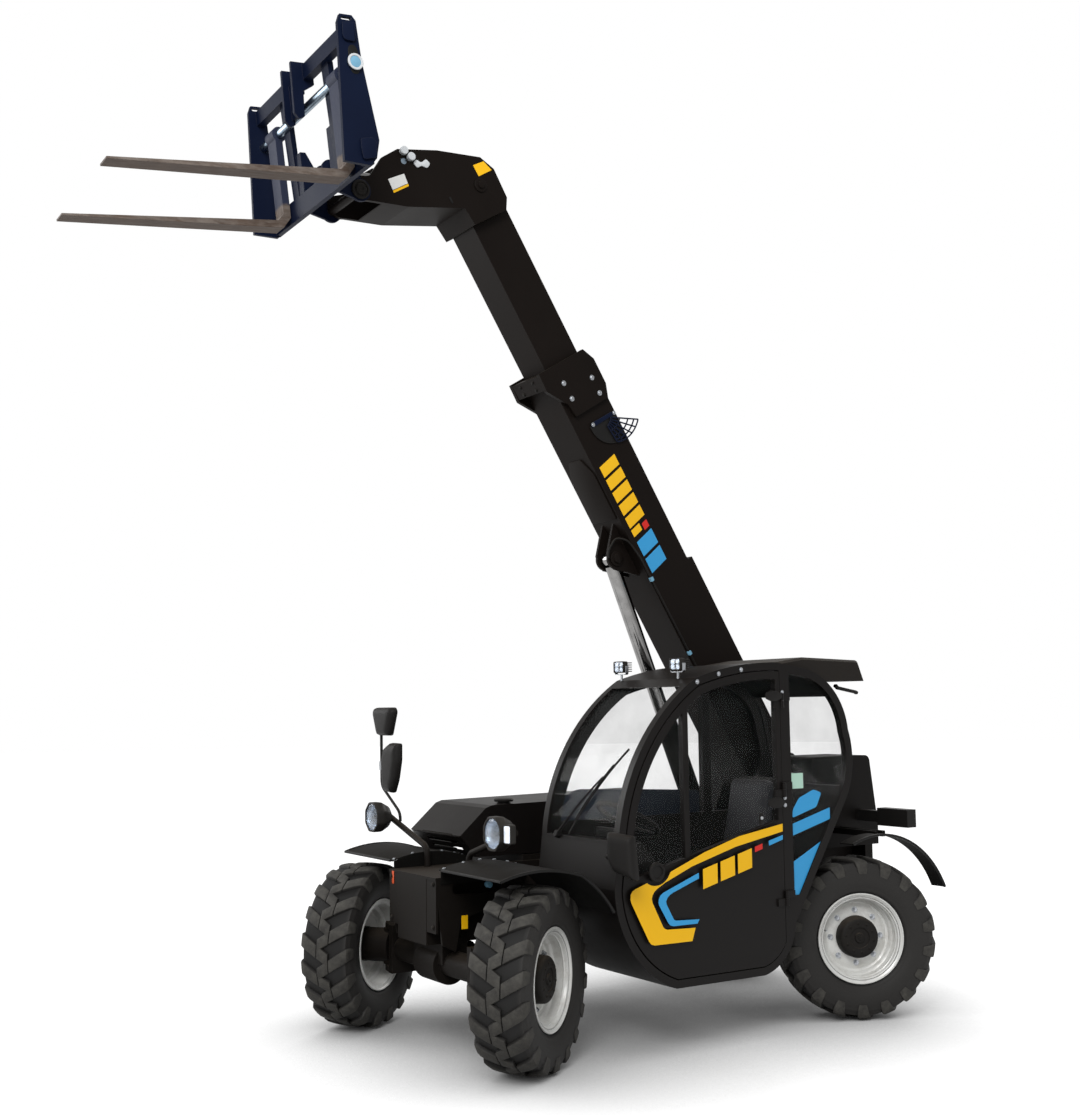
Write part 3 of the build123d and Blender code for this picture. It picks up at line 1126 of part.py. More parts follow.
# ================================================================ inside the cab
FLOOR = 343 + CAB_SKIN
SEAT_Y = 270.0
with BuildPart() as seat_base:
    with Locations((glass_mid, SEAT_Y, (FLOOR + 700) / 2)):
        Box(420, 440, 700 - FLOOR)
    plate(cab_inner, CAB_IN, CAB_OUT - CAB_IN, Mode.INTERSECT)
write("seat_base", seat_base.part)

with BuildPart() as seat:
    with Locations((glass_mid, SEAT_Y - 10, 700 + SEAT + 55)):
        Box(470, 460, 110)
    fillet(seat.edges().filter_by(Axis.Z), 50)
    with BuildSketch(SIDE.offset(glass_mid - 215)):
        with BuildLine():
            Polyline((SEAT_Y + 150, 790), (SEAT_Y + 255, 1400), (SEAT_Y + 345, 1400), (SEAT_Y + 255, 780),
                     close=True)
        make_face()
    extrude(amount=430)
write("seat", seat.part)

with BuildPart() as console:
    with BuildSketch(SIDE.offset(CAB_IN + CAB_WALL + SEAT)):
        with BuildLine():
            Polyline((-500, 700), (-570, 900), (-560, 1075), (-450, 1090), (-330, 960), (-380, 700),
                     close=True)
        make_face()
    extrude(amount=CAB_OUT - CAB_IN - CAB_WALL - 80)
    plate(cab_inner, CAB_IN, CAB_OUT - CAB_IN, Mode.INTERSECT)
    with BuildSketch(Plane(origin=(glass_mid, -430, 1020), z_dir=(0, 0.5, 0.866))):
        Circle(32)
    extrude(amount=190)
write("console", console.part)

with BuildPart() as steering_wheel:
    wheel_plane = Plane(origin=(glass_mid, -430 + 0.5 * 200, 1020 + 0.866 * 200), z_dir=(0, 0.5, 0.866))
    with BuildSketch(Plane(origin=wheel_plane.origin, x_dir=(1, 0, 0), z_dir=(0, -0.866, 0.5))):
        with Locations((175, 0)):
            RegularPolygon(14, 8, rotation=22.5)
    revolve(axis=Axis(wheel_plane.origin, wheel_plane.z_dir))
    with BuildSketch(wheel_plane.offset(-9.5)):
        Circle(40)
        for turn in (0, 120, 240):
            with Locations(Location((0, 0, 0), (0, 0, turn))):
                with Locations((85, 0)):
                    Rectangle(170, 26)
    extrude(amount=16)
write("steering_wheel", steering_wheel.part)
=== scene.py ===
# %% [markdown]
# # A compact telescopic handler, dressed
# The steelwork comes from CAD as separate named nodes that already sit where they belong. This file adds
# what a drawing leaves out: rubber, paint, glass, lamps, bolts and wear. Everything is in metres, with the
# machine's front towards -Y, its left side towards +X and up along +Z.

# %% Load the machine
import json
from math import atan2, cos, pi, radians, sin

import bmesh
import bpy
import numpy as np
from mathutils import Matrix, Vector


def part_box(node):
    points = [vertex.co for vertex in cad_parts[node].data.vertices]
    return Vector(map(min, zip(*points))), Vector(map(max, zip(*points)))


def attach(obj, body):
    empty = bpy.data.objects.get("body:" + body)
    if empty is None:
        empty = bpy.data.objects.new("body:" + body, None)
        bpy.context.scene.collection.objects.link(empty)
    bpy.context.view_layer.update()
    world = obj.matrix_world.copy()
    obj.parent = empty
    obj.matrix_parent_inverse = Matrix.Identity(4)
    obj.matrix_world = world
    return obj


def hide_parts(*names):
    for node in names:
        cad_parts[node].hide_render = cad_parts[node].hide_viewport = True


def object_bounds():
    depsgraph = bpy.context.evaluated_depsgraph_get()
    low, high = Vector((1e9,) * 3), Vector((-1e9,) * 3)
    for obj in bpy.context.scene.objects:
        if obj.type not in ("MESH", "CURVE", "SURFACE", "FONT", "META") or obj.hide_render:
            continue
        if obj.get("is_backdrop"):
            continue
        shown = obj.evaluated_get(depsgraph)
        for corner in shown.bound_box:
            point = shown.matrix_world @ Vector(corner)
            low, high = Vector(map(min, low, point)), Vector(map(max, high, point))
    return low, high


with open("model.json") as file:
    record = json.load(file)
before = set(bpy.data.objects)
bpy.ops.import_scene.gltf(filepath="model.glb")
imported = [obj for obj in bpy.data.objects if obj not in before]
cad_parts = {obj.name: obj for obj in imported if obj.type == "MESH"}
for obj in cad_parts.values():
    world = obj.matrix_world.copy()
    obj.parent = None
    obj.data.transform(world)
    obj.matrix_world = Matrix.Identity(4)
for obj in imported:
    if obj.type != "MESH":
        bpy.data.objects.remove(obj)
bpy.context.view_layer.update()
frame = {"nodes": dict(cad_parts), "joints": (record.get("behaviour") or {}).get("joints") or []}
joints = {joint["name"]: joint for joint in frame["joints"]}

# %% [markdown]
# ## Where things are
# Three directions are enough to place almost everything. The machine's own axes start half way between the
# axles. The boom has a line of its own from its pivot, and the fork carriage another one from the pin that
# it tilts on. Both are read from the joints, so they stay right when the drawing changes.

# %% Directions of the machine, the boom and the forks
MM = 0.001
FORK_SLOPE = radians(7.1)                       # the forks' tips are parked a little low


def joint_place(name):
    """A joint's place as an array, in metres."""
    return np.array(joints[name]["pos_m"], float)


AXLE_MID = (joint_place("steer_front_left")[1] + joint_place("steer_rear_left")[1]) / 2
LEFT = np.array([1.0, 0, 0])
BOOM_ALONG = np.array(joints["boom_extend"]["axis"], float)
BOOM_UP = np.cross(LEFT, BOOM_ALONG) * -1       # across the boom, away from its belly
BOOM_PIVOT = joint_place("boom_lift")
FORK_AHEAD = np.array([0, -cos(FORK_SLOPE), -sin(FORK_SLOPE)])
FORK_UP = np.array([0, -sin(FORK_SLOPE), cos(FORK_SLOPE)])
FORK_PIVOT = joint_place("carriage_tilt")


def machine(points):
    """(x, y, z) in millimetres, y from half way between the axles, as places in metres."""
    return np.asarray(points, float) * MM + [0, AXLE_MID, 0]


def on_boom(points):
    """(x, u, v) in millimetres, u along the boom and v across it, as places in metres."""
    p = np.asarray(points, float) * MM
    return BOOM_PIVOT + p[..., :1] * LEFT + p[..., 1:2] * BOOM_ALONG + p[..., 2:] * BOOM_UP


def on_forks(points):
    """(x, t, s) in millimetres, t ahead of the carriage's pin and s up the shanks, as places in metres."""
    p = np.asarray(points, float) * MM
    return FORK_PIVOT + p[..., :1] * LEFT + p[..., 1:2] * FORK_AHEAD + p[..., 2:] * FORK_UP


print("boom rises", round(float(np.degrees(atan2(BOOM_ALONG[2], -BOOM_ALONG[1]))), 1), "degrees; v points",
      BOOM_UP.round(3))

# %% [markdown]
# ## Camera
# A camera is a place, a direction and a lens. The direction is given as a compass heading and a pitch, and
# the roll turns the view a little about its middle. The lens follows from how much slope the view takes in
# from its foot to its head. A small shift slides the view over the lens without turning the camera.

# %% Camera
SLOPE_SEEN = 0.8104
heading, pitch, roll = radians(57.458), radians(5.433), radians(-0.708)
look = np.array([-sin(heading) * cos(pitch), cos(heading) * cos(pitch), sin(pitch)])
side = np.cross(look, [0, 0, 1])
side /= np.linalg.norm(side)
over = np.cross(side, look)
camera = bpy.data.objects.new("camera", bpy.data.cameras.new("camera"))
camera.data.sensor_width = 36.0
camera.data.lens = camera.data.sensor_width / SLOPE_SEEN
camera.data.shift_x, camera.data.shift_y = -0.0059, 0.0159
turn = np.eye(4)
turn[:3, 0] = side * cos(roll) + over * sin(roll)
turn[:3, 1] = over * cos(roll) - side * sin(roll)
turn[:3, 2] = -look
turn[:3, 3] = (6.6945, -4.1114, 1.7978)
camera.matrix_world = Matrix(turn.tolist())
camera.data.clip_end = 200
bpy.context.scene.collection.objects.link(camera)
bpy.context.scene.camera = camera
print("lens", round(camera.data.lens, 2), "mm")

# %% [markdown]
# ## Shader helpers
# Colours are picked as everyone writes them, in sRGB hex, while a renderer adds light, so each is turned to
# linear first. Node trees get long because every node needs its settings and its wires. One function that
# takes both keeps a whole material readable as a list.

# %% Colours and nodes
MIX_A, MIX_B, MIXED = 6, 7, 2                    # the colour sockets of a Mix node


def linear(code):
    """Hex to linear: c / 12.92 below 0.04045, and ((c + 0.055) / 1.055) to the power 2.4 above."""
    c = np.array([int(code[i:i + 2], 16) for i in (1, 3, 5)]) / 255
    return (*np.where(c <= 0.04045, c / 12.92, ((c + 0.055) / 1.055) ** 2.4), 1.0)


def add(tree, kind, inputs=None, **settings):
    """Add a node. settings are its own properties; inputs gives a socket a number, a hex colour or a wire.

    A wire comes from an output, or from a node, which stands for its first output or a Mix node's colour.
    """
    made = tree.nodes.new("ShaderNode" + kind)
    if kind == "Mix":
        made.data_type = "RGBA"
    for key, value in settings.items():
        setattr(made, key, value)
    for key, value in (inputs or {}).items():
        if isinstance(value, bpy.types.Node):
            value = value.outputs[MIXED if value.type == "MIX" else 0]
        if isinstance(value, bpy.types.NodeSocket):
            tree.links.new(value, made.inputs[key])
        else:
            made.inputs[key].default_value = linear(value) if isinstance(value, str) else value
    return made


def start_material(name):
    """An empty node material: returns it, its tree and the output that gives the object's coordinates."""
    material = bpy.data.materials.new(name)
    material.use_nodes = True
    tree = material.node_tree
    tree.nodes.clear()
    return material, tree, add(tree, "TexCoord").outputs["Object"]


print("sRGB #808080 is", round(linear("#808080")[0], 3), "in linear light")

# %% [markdown]
# ## Studio
# Plain and pale. The floor is a matt sheet that also glows a little for the eye and for reflections, so it
# reads as white paper. An ambient occlusion node dims that glow near the machine, which paints a contact
# shadow under it. The sky is one even white that does half of the lighting, and a large soft lamp from the
# front left of the machine gives the rest some direction.

# %% Floor, sky and lamps
floor_material, tree, where = start_material("paper_sweep")
seen = add(tree, "LightPath")
shown = add(tree, "Math", {0: seen.outputs["Is Camera Ray"], 1: seen.outputs["Is Glossy Ray"]}, operation="ADD")
shown = add(tree, "Math", {0: shown, 1: seen.outputs["Is Transmission Ray"]}, operation="ADD", use_clamp=True)
# Painted contact shadow: the glow seen by the camera and in reflections is dimmed by ambient occlusion where the
# machine is near.
painted_shadow_ao = add(tree, "AmbientOcclusion", {"Distance": 1.3}, samples=8)
near = add(tree, "Math", {0: painted_shadow_ao.outputs["AO"], 1: 1.7}, operation="POWER")
level = add(tree, "Math", {0: near, 1: 0.92}, operation="MULTIPLY")
glow = add(tree, "Emission", {"Color": "#FFFFFF",
                              "Strength": add(tree, "Math", {0: shown, 1: level}, operation="MULTIPLY")})
grain = add(tree, "TexNoise", {"Vector": where, "Scale": 1 / 0.004})
tone = add(tree, "Mix", {0: grain, MIX_A: "#8E8E8E", MIX_B: "#969696"})
paper = add(tree, "BsdfDiffuse", {"Color": tone})
add(tree, "OutputMaterial", {"Surface": add(tree, "AddShader", {0: paper, 1: glow})})

angle = np.linspace(0, 2 * pi, 97)[:-1]
ring = np.stack([np.cos(angle), np.sin(angle), 0 * angle], 1)
floor_mesh = bpy.data.meshes.new("floor")
floor_mesh.from_pydata((ring * 60).tolist(), [], [list(range(96))])
floor_mesh.materials.append(floor_material)
floor = bpy.data.objects.new("floor", floor_mesh)
bpy.context.scene.collection.objects.link(floor)
floor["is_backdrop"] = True

world = bpy.data.worlds.new("sky")
bpy.context.scene.world = world
world.use_nodes = True
tree = world.node_tree
tree.nodes.clear()
seen = add(tree, "LightPath")
shown = add(tree, "Math", {0: seen.outputs["Is Camera Ray"], 1: seen.outputs["Is Transmission Ray"]},
            operation="MAXIMUM")
level = add(tree, "MapRange", {"Value": shown, "To Min": 0.62, "To Max": 1.0})
sky = add(tree, "Background", {"Color": "#FFFFFF", "Strength": level})
add(tree, "OutputWorld", {"Surface": sky})


def lamp(name, place, aim, size, watts):
    """A square soft lamp at place that points at aim, both in metres."""
    data = bpy.data.lights.new(name, "AREA")
    data.size, data.energy = size, watts
    made = bpy.data.objects.new(name, data)
    back = np.array(place, float) - aim
    back /= np.linalg.norm(back)
    right = np.cross([0, 0, 1.0], back)
    right /= np.linalg.norm(right)
    pose = np.eye(4)
    pose[:3, :3] = np.stack([right, np.cross(back, right), back], 1)
    pose[:3, 3] = place
    made.matrix_world = Matrix(pose.tolist())
    bpy.context.scene.collection.objects.link(made)


lamp("key", (7.5, -6.5, 8.5), (0, 0, 1.6), 5.0, 900)
lamp("fill", (-8.0, -6.0, 5.0), (0, 0, 1.6), 5.0, 420)
lamp("back", (-3.0, 9.0, 7.0), (0, 0, 1.8), 5.0, 380)
bpy.context.scene.view_settings.view_transform = "Standard"
print("studio: floor, sky,", len(bpy.data.lights), "lamps")

# %% [markdown]
# ## Shape helpers
# New pieces are surfaces worked out with whole arrays of numbers. A shape here is a pair: its points, and a
# list of face arrays that all have the same number of corners. Three kinds cover a machine like this: a
# profile turned about an axis, a profile carried along a path, and a flat outline with rounded rims.

# %% Grids of faces and how they reach a mesh


def quads(rows, columns, loop_rows=False, loop_columns=False):
    """Four-cornered faces between neighbours on a grid of points, joined round where it loops."""
    r = np.arange(rows if loop_rows else rows - 1)[:, None]
    c = np.arange(columns if loop_columns else columns - 1)[None, :]
    r1, c1 = (r + 1) % rows, (c + 1) % columns
    return np.stack([r * columns + c, r1 * columns + c, r1 * columns + c1, r * columns + c1], -1).reshape(-1, 4)


def tube(rings):
    """A shape of (rows, columns, 3) points: each ring is joined to the next, and the end rings are closed."""
    rows, columns = rings.shape[:2]
    ends = np.array([np.arange(columns)[::-1], (rows - 1) * columns + np.arange(columns)])
    return rings.reshape(-1, 3), [quads(rows, columns, loop_columns=True), ends]


def many(shape, places, turns=np.eye(3)):
    """Copies of a shape: each point times a copy's 3x3 turn, or one turn for all, plus its place."""
    points, faces = shape
    places = np.asarray(places, float)
    turns = np.broadcast_to(turns, (len(places), 3, 3))
    spread = np.einsum("kij,nj->kni", turns, points) + places[:, None]
    step = (np.arange(len(spread)) * len(points))[:, None, None]
    return spread.reshape(-1, 3), [(f[None] + step).reshape(-1, f.shape[1]) for f in faces]


def join(*shapes):
    """Several shapes as one: points stacked, faces counted on from those before."""
    counts = np.cumsum([0] + [len(s[0]) for s in shapes])
    return np.concatenate([s[0] for s in shapes]), [f + n for s, n in zip(shapes, counts) for f in s[1]]


def laid(shape, at, order=(1, 2, 3)):
    """The shape moved to at. order says which of its axes each new one comes from, with a minus if reversed."""
    columns = [abs(i) - 1 for i in order]
    return shape[0][:, columns] * np.sign(order) + np.asarray(at, float), shape[1]


def piece(name, body, parts, put=machine, replaces=(), crease=35, wear=None):
    """Make one object of (shape, material) parts in millimetres and let it ride on a body.

    put takes the points to their places in metres. The mesh is welded and its faces are turned to point out.
    """
    mesh = bpy.data.meshes.new(name)
    points, faces = join(*(shape for shape, _ in parts))
    mesh.from_pydata(put(points).tolist(), [], [f for group in faces for f in group.tolist()])
    finishes = list(dict.fromkeys(material for _, material in parts))
    for material in finishes:
        mesh.materials.append(material)
    index = np.concatenate([np.full(sum(len(f) for f in shape[1]), finishes.index(material))
                            for shape, material in parts])
    mesh.polygons.foreach_set("material_index", index.astype(np.int32))
    if wear is not None:
        mesh.attributes.new("wear", "FLOAT", "POINT").data.foreach_set("value", np.asarray(wear, np.float32))
    work = bmesh.new()
    work.from_mesh(mesh)
    bmesh.ops.remove_doubles(work, verts=work.verts, dist=1e-6)
    bmesh.ops.recalc_face_normals(work, faces=work.faces)
    work.to_mesh(mesh)
    work.free()
    mesh.polygons.foreach_set("use_smooth", np.ones(len(mesh.polygons), bool))
    mesh.set_sharp_from_angle(angle=radians(crease))
    made = bpy.data.objects.new(name, mesh)
    bpy.context.scene.collection.objects.link(made)
    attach(made, body)
    if replaces:
        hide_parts(*replaces)
    print(f"{name}: {len(mesh.polygons)} faces on {body}")
    return made


# %% Turned, carried and flat shapes


def turned(profile, count=48, closed=True):
    """Lathe: a profile of (along, radius) goes round the x axis, so a point is (along, r cos a, r sin a)."""
    p = np.asarray(profile, float)
    a = np.arange(count) * 2 * pi / count
    points = np.stack([np.broadcast_to(p[:, 0, None], (len(p), count)), p[:, 1, None] * np.cos(a),
                       p[:, 1, None] * np.sin(a)], -1)
    return points.reshape(-1, 3), [quads(len(p), count, loop_rows=closed, loop_columns=True)]


def carried(path, profile, up=(0, 0, 1), scale=None):
    """Carry a closed (across, above) profile along a path: point = path + across * side + above * top.

    Side is at right angles to the path's run and to up; top is at right angles to both. The ends are closed.
    """
    path, profile = np.asarray(path, float), np.asarray(profile, float)
    run = np.gradient(path, axis=0)
    run /= np.linalg.norm(run, axis=1, keepdims=True)
    across = np.cross(run, np.broadcast_to(np.asarray(up, float), run.shape))
    across /= np.linalg.norm(across, axis=1, keepdims=True)
    top = np.cross(across, run)
    size = np.ones(len(path)) if scale is None else np.asarray(scale, float)
    points = (path[:, None] + size[:, None, None] * (profile[None, :, :1] * across[:, None]
                                                     + profile[None, :, 1:] * top[:, None]))
    return tube(points)


def circle(radius, count=12):
    """Points round a circle, as (across, above)."""
    a = np.arange(count) * 2 * pi / count
    return radius * np.stack([np.cos(a), np.sin(a)], 1)


def smooth_path(points, radius, steps=5):
    """Round each inner corner of a path with a curve that starts and ends radius away from the corner."""
    p = np.asarray(points, float)
    t = np.linspace(0, 1, steps)[:, None]
    before = p[1:-1] + radius * (p[:-2] - p[1:-1]) / np.linalg.norm(p[:-2] - p[1:-1], axis=1, keepdims=True)
    after = p[1:-1] + radius * (p[2:] - p[1:-1]) / np.linalg.norm(p[2:] - p[1:-1], axis=1, keepdims=True)
    bend = ((1 - t) ** 2 * before[:, None] + 2 * t * (1 - t) * p[1:-1, None] + t ** 2 * after[:, None])
    return np.concatenate([p[:1], bend.reshape(-1, p.shape[1]), p[-1:]])


def rounded(corners, radius, steps=5):
    """A closed outline with every corner rounded, each by a curve that starts radius away from it."""
    p = np.asarray(corners, float)
    looped = np.concatenate([p[-1:], p, p[:1]])
    return smooth_path(looped, radius, steps)[1:-1]


def inset(outline, distance):
    """The outline moved inwards: each point along the mean of its two edges' normals, lengthened at corners."""
    p = np.asarray(outline, float)
    edge = np.roll(p, -1, 0) - p
    edge /= np.linalg.norm(edge, axis=1, keepdims=True) + 1e-12
    area = np.sum(p[:, 0] * np.roll(p[:, 1], -1) - np.roll(p[:, 0], -1) * p[:, 1])
    normal = np.stack([-edge[:, 1], edge[:, 0]], 1) * np.sign(area)
    mean = normal + np.roll(normal, 1, 0)
    mean /= np.maximum(np.sum(mean * normal, 1, keepdims=True), 0.4)
    return p + mean * distance


def flat(outline, thick, rim=1.0, steps=3):
    """A plate of a closed (a, b) outline, thick along the first axis, with its rims rounded.

    Rings go from one face to the other: each is the outline moved in by rim (1 - sin t), rim (1 - cos t) deep.
    """
    t = np.linspace(0, pi / 2, steps)
    insets = np.concatenate([rim * (1 - np.sin(t)), rim * (1 - np.sin(t))[::-1]])
    depths = np.concatenate([rim * (1 - np.cos(t)), thick - rim * (1 - np.cos(t))[::-1]])
    return tube(np.stack([np.column_stack([np.full(len(outline), d), inset(outline, i)])
                          for i, d in zip(insets, depths)]))


def oblong(wide, tall, radius, centre=(0, 0)):
    """A rounded rectangle's outline."""
    w, t = wide / 2, tall / 2
    return rounded([(-w, -t), (w, -t), (w, t), (-w, t)], radius) + np.asarray(centre, float)


def arc_through(a, b, c, count):
    """Points of the circle through a, b and c, from a to c by way of b."""
    (ax, ay), (bx, by), (cx, cy) = a, b, c
    d = 2 * (ax * (by - cy) + bx * (cy - ay) + cx * (ay - by))
    ux = ((ax**2 + ay**2) * (by - cy) + (bx**2 + by**2) * (cy - ay) + (cx**2 + cy**2) * (ay - by)) / d
    uy = ((ax**2 + ay**2) * (cx - bx) + (bx**2 + by**2) * (ax - cx) + (cx**2 + cy**2) * (bx - ax)) / d
    start, middle, end = (atan2(y - uy, x - ux) for x, y in (a, b, c))
    middle = start + (middle - start + pi) % (2 * pi) - pi
    end = middle + (end - middle + pi) % (2 * pi) - pi
    t = np.linspace(start, end, count)
    r = np.hypot(ax - ux, ay - uy)
    return np.stack([ux + r * np.cos(t), uy + r * np.sin(t)], 1)


print("an oblong 10 by 6 mm with 2 mm corners has", len(oblong(10, 6, 2)), "points")

# %% [markdown]
# ## Paint
# Most of the machine is steel with a dark two-pack enamel, sprayed over shot-blasted plate. It is nearly
# black, so its form is read from soft reflections: the film has a faint orange peel, a thin veil of dust on
# what faces up, and is rubbed paler along its edges. A Bevel node looks at the mesh round each point and
# rounds the shading normal there, which gives a hard CAD edge the thin highlight that real plate has; where
# that normal differs from the true one is an edge, and so the same node says where the wear goes.

# %% Enamel


def enamel(name, colour, tint, rough=0.42, peel_mm=2.5, dust=0.10, worn="#3C3833", wear=0.3, shine=0.10,
           edge_mm=2.5):
    """Sprayed enamel: colour broken up with tint, orange peel peel_mm wide, dust from above and worn edges."""
    material, tree, where = start_material(name)
    patches = add(tree, "TexNoise", {"Vector": where, "Scale": 1 / 0.45, "Detail": 5.0, "Roughness": 0.62})
    base = add(tree, "Mix", {0: patches, MIX_A: colour, MIX_B: tint})
    grains = add(tree, "TexNoise", {"Vector": where, "Scale": 1 / 0.012, "Detail": 4.0, "Roughness": 0.7})
    facing = add(tree, "SeparateXYZ", {0: add(tree, "NewGeometry").outputs["Normal"]})
    above = add(tree, "MapRange", {"Value": facing.outputs["Z"], "From Min": 0.35, "From Max": 1.0})
    settled = add(tree, "Math", {0: above, 1: grains}, operation="MULTIPLY")
    veil = add(tree, "Math", {0: settled, 1: dust}, operation="MULTIPLY")
    dusty = add(tree, "Mix", {0: veil, MIX_A: base, MIX_B: "#7C6F60"})
    soft_edge = add(tree, "Bevel", {"Radius": edge_mm * MM}, samples=4)
    true_face = add(tree, "NewGeometry")
    turn_away = add(tree, "VectorMath", {0: soft_edge, 1: true_face.outputs["Normal"]}, operation="DOT_PRODUCT")
    edge = add(tree, "MapRange", {"Value": turn_away.outputs["Value"], "From Min": 0.995, "From Max": 0.80})
    rubbed = add(tree, "Math", {0: edge, 1: grains}, operation="MULTIPLY")
    rubbed = add(tree, "Math", {0: rubbed, 1: wear}, operation="MULTIPLY")
    coat = add(tree, "Mix", {0: rubbed, MIX_A: dusty, MIX_B: worn})
    peel = add(tree, "TexNoise", {"Vector": where, "Scale": 1 / (peel_mm * MM), "Detail": 2.0})
    bump = add(tree, "Bump", {"Height": peel, "Strength": 0.06, "Distance": 0.0006,
                              "Normal": soft_edge})
    matt = add(tree, "MapRange", {"Value": patches, "To Min": rough - 0.08, "To Max": rough + 0.12})
    matt = add(tree, "Math", {0: matt, 1: veil}, operation="ADD", use_clamp=True)
    shader = add(tree, "BsdfPrincipled", {"Base Color": coat, "Roughness": matt,
                                          "Specular IOR Level": shine, "Normal": bump})
    add(tree, "OutputMaterial", {"Surface": shader})
    return material


boom_enamel = enamel("black_boom_enamel", "#120E0C", "#1A1512", rough=0.46, shine=0.06)      # warm, satin
cab_enamel = enamel("black_cab_enamel", "#0F0D0C", "#151211", rough=0.36, dust=0.06, shine=0.14)    # smoother
frame_enamel = enamel("black_chassis_enamel", "#110F0D", "#1A1613", rough=0.55, dust=0.18, wear=0.45)
navy_enamel = enamel("navy_carriage_enamel", "#0A1124", "#0F1931", rough=0.48, worn="#6A655F", wear=0.8,
                     shine=0.07)
tank_enamel = enamel("black_tank_enamel", "#0F0E0D", "#161312", rough=0.5)
print("enamels:", len([m for m in bpy.data.materials if "enamel" in m.name]))

# %% [markdown]
# ## Bare and plated metal
# Chromed piston rods are mirrors with faint rings from grinding. Fork blades are rolled steel whose mill
# scale has been scraped off on top by pallets, so they are pale brown where they slide and dark and rusty
# where they don't. Bolts are zinc plated, which is a bluish, slightly cloudy silver.

# %% Metals


def metal(name, colour, tint, rough, grain_mm, stretch=(1, 1, 1), depth_mm=0.05, spread=0.1, patches_mm=60):
    """Metal with colour patches patches_mm wide and a grain grain_mm wide, drawn out along an axis by stretch."""
    material, tree, where = start_material(name)
    drawn = add(tree, "Mapping", {"Vector": where, "Scale": stretch})
    patches = add(tree, "TexNoise", {"Vector": where, "Scale": 1 / (patches_mm * MM), "Detail": 6.0,
                                     "Roughness": 0.65})
    contrast = add(tree, "MapRange", {"Value": patches, "From Min": 0.35, "From Max": 0.65})
    shade = add(tree, "Mix", {0: contrast, MIX_A: colour, MIX_B: tint})
    grain = add(tree, "TexNoise", {"Vector": drawn, "Scale": 1 / (grain_mm * MM), "Detail": 3.0})
    bump = add(tree, "Bump", {"Height": grain, "Strength": 0.4, "Distance": depth_mm * MM})
    matt = add(tree, "MapRange", {"Value": grain, "To Min": rough - spread, "To Max": rough + spread})
    shader = add(tree, "BsdfPrincipled", {"Base Color": shade, "Metallic": 1.0,
                                          "Roughness": matt, "Normal": bump})
    add(tree, "OutputMaterial", {"Surface": shader})
    return material


chrome = metal("hard_chromed_rod", "#8E8D8C", "#7B7A79", 0.12, 1.2, spread=0.05, depth_mm=0.01)
zinc = metal("zinc_plated_steel", "#B9BCC0", "#9A9DA1", 0.34, 0.8, spread=0.08, patches_mm=8)
shaft_steel = metal("turned_shaft_steel", "#8FA0AE", "#7B8894", 0.3, 1.0, stretch=(0.05, 1, 1))
engine_iron = metal("painted_cast_iron", "#4A4B4C", "#33302D", 0.6, 3.0, depth_mm=0.4)
print("metals:", *(m.name for m in (chrome, zinc, shaft_steel, engine_iron)))

# %% [markdown]
# Fork steel isn't a clean metal: it is oxide, dirt and polish. So it is drawn as a rough brown skin, with the
# bare metal showing in streaks that run along the blade, more on the faces that look up.

# %% Fork steel
fork_steel, tree, where = start_material("worn_fork_steel")
long_ways = add(tree, "Mapping", {"Vector": where, "Scale": (1, 0.12, 0.5)})
streaks = add(tree, "TexNoise", {"Vector": long_ways, "Scale": 1 / 0.018, "Detail": 7.0, "Roughness": 0.7})
blotch = add(tree, "TexNoise", {"Vector": where, "Scale": 1 / 0.09, "Detail": 6.0, "Roughness": 0.6})
face = add(tree, "SeparateXYZ", {0: add(tree, "NewGeometry").outputs["Normal"]})
upward = add(tree, "MapRange", {"Value": face.outputs["Z"], "From Min": -0.2, "From Max": 0.9, "To Min": 0.12,
                                "To Max": 0.85})
scraped = add(tree, "MapRange", {"Value": streaks, "From Min": 0.38, "From Max": 0.62})
bare = add(tree, "Math", {0: upward, 1: scraped}, operation="MULTIPLY")
skin = add(tree, "Mix", {0: blotch, MIX_A: "#33261E", MIX_B: "#5E4C3F"})
tone = add(tree, "Mix", {0: bare, MIX_A: skin, MIX_B: "#B4ADA5"})
heel, above = on_forks([[0, 0, 0], [0, 0, 1000]])                  # up the shank, in metres
from_heel = add(tree, "VectorMath", {0: where, 1: tuple(heel)}, operation="SUBTRACT")
height = add(tree, "VectorMath", {0: from_heel, 1: tuple(above - heel)}, operation="DOT_PRODUCT")
waver = add(tree, "Math", {0: blotch, 1: 0.06}, operation="MULTIPLY")
ragged = add(tree, "Math", {0: height.outputs["Value"], 1: waver}, operation="ADD")
painted = add(tree, "MapRange", {"Value": ragged, "From Min": 0.11, "From Max": 0.13})
tone = add(tree, "Mix", {0: painted, MIX_A: tone, MIX_B: "#111B36"})
rough = add(tree, "MapRange", {"Value": bare, "To Min": 0.72, "To Max": 0.42})
clean = add(tree, "Math", {0: 1.0, 1: painted}, operation="SUBTRACT")
shine = add(tree, "Math", {0: bare, 1: clean}, operation="MULTIPLY")
shine = add(tree, "Math", {0: shine, 1: 0.4}, operation="MULTIPLY")
bump = add(tree, "Bump", {"Height": streaks, "Strength": 0.5, "Distance": 0.0006,
                          "Normal": add(tree, "Bevel", {"Radius": 0.003}, samples=4)})
shader = add(tree, "BsdfPrincipled", {"Base Color": tone, "Metallic": shine,
                                      "Roughness": rough, "Normal": bump})
add(tree, "OutputMaterial", {"Surface": shader})
print("fork steel ready")
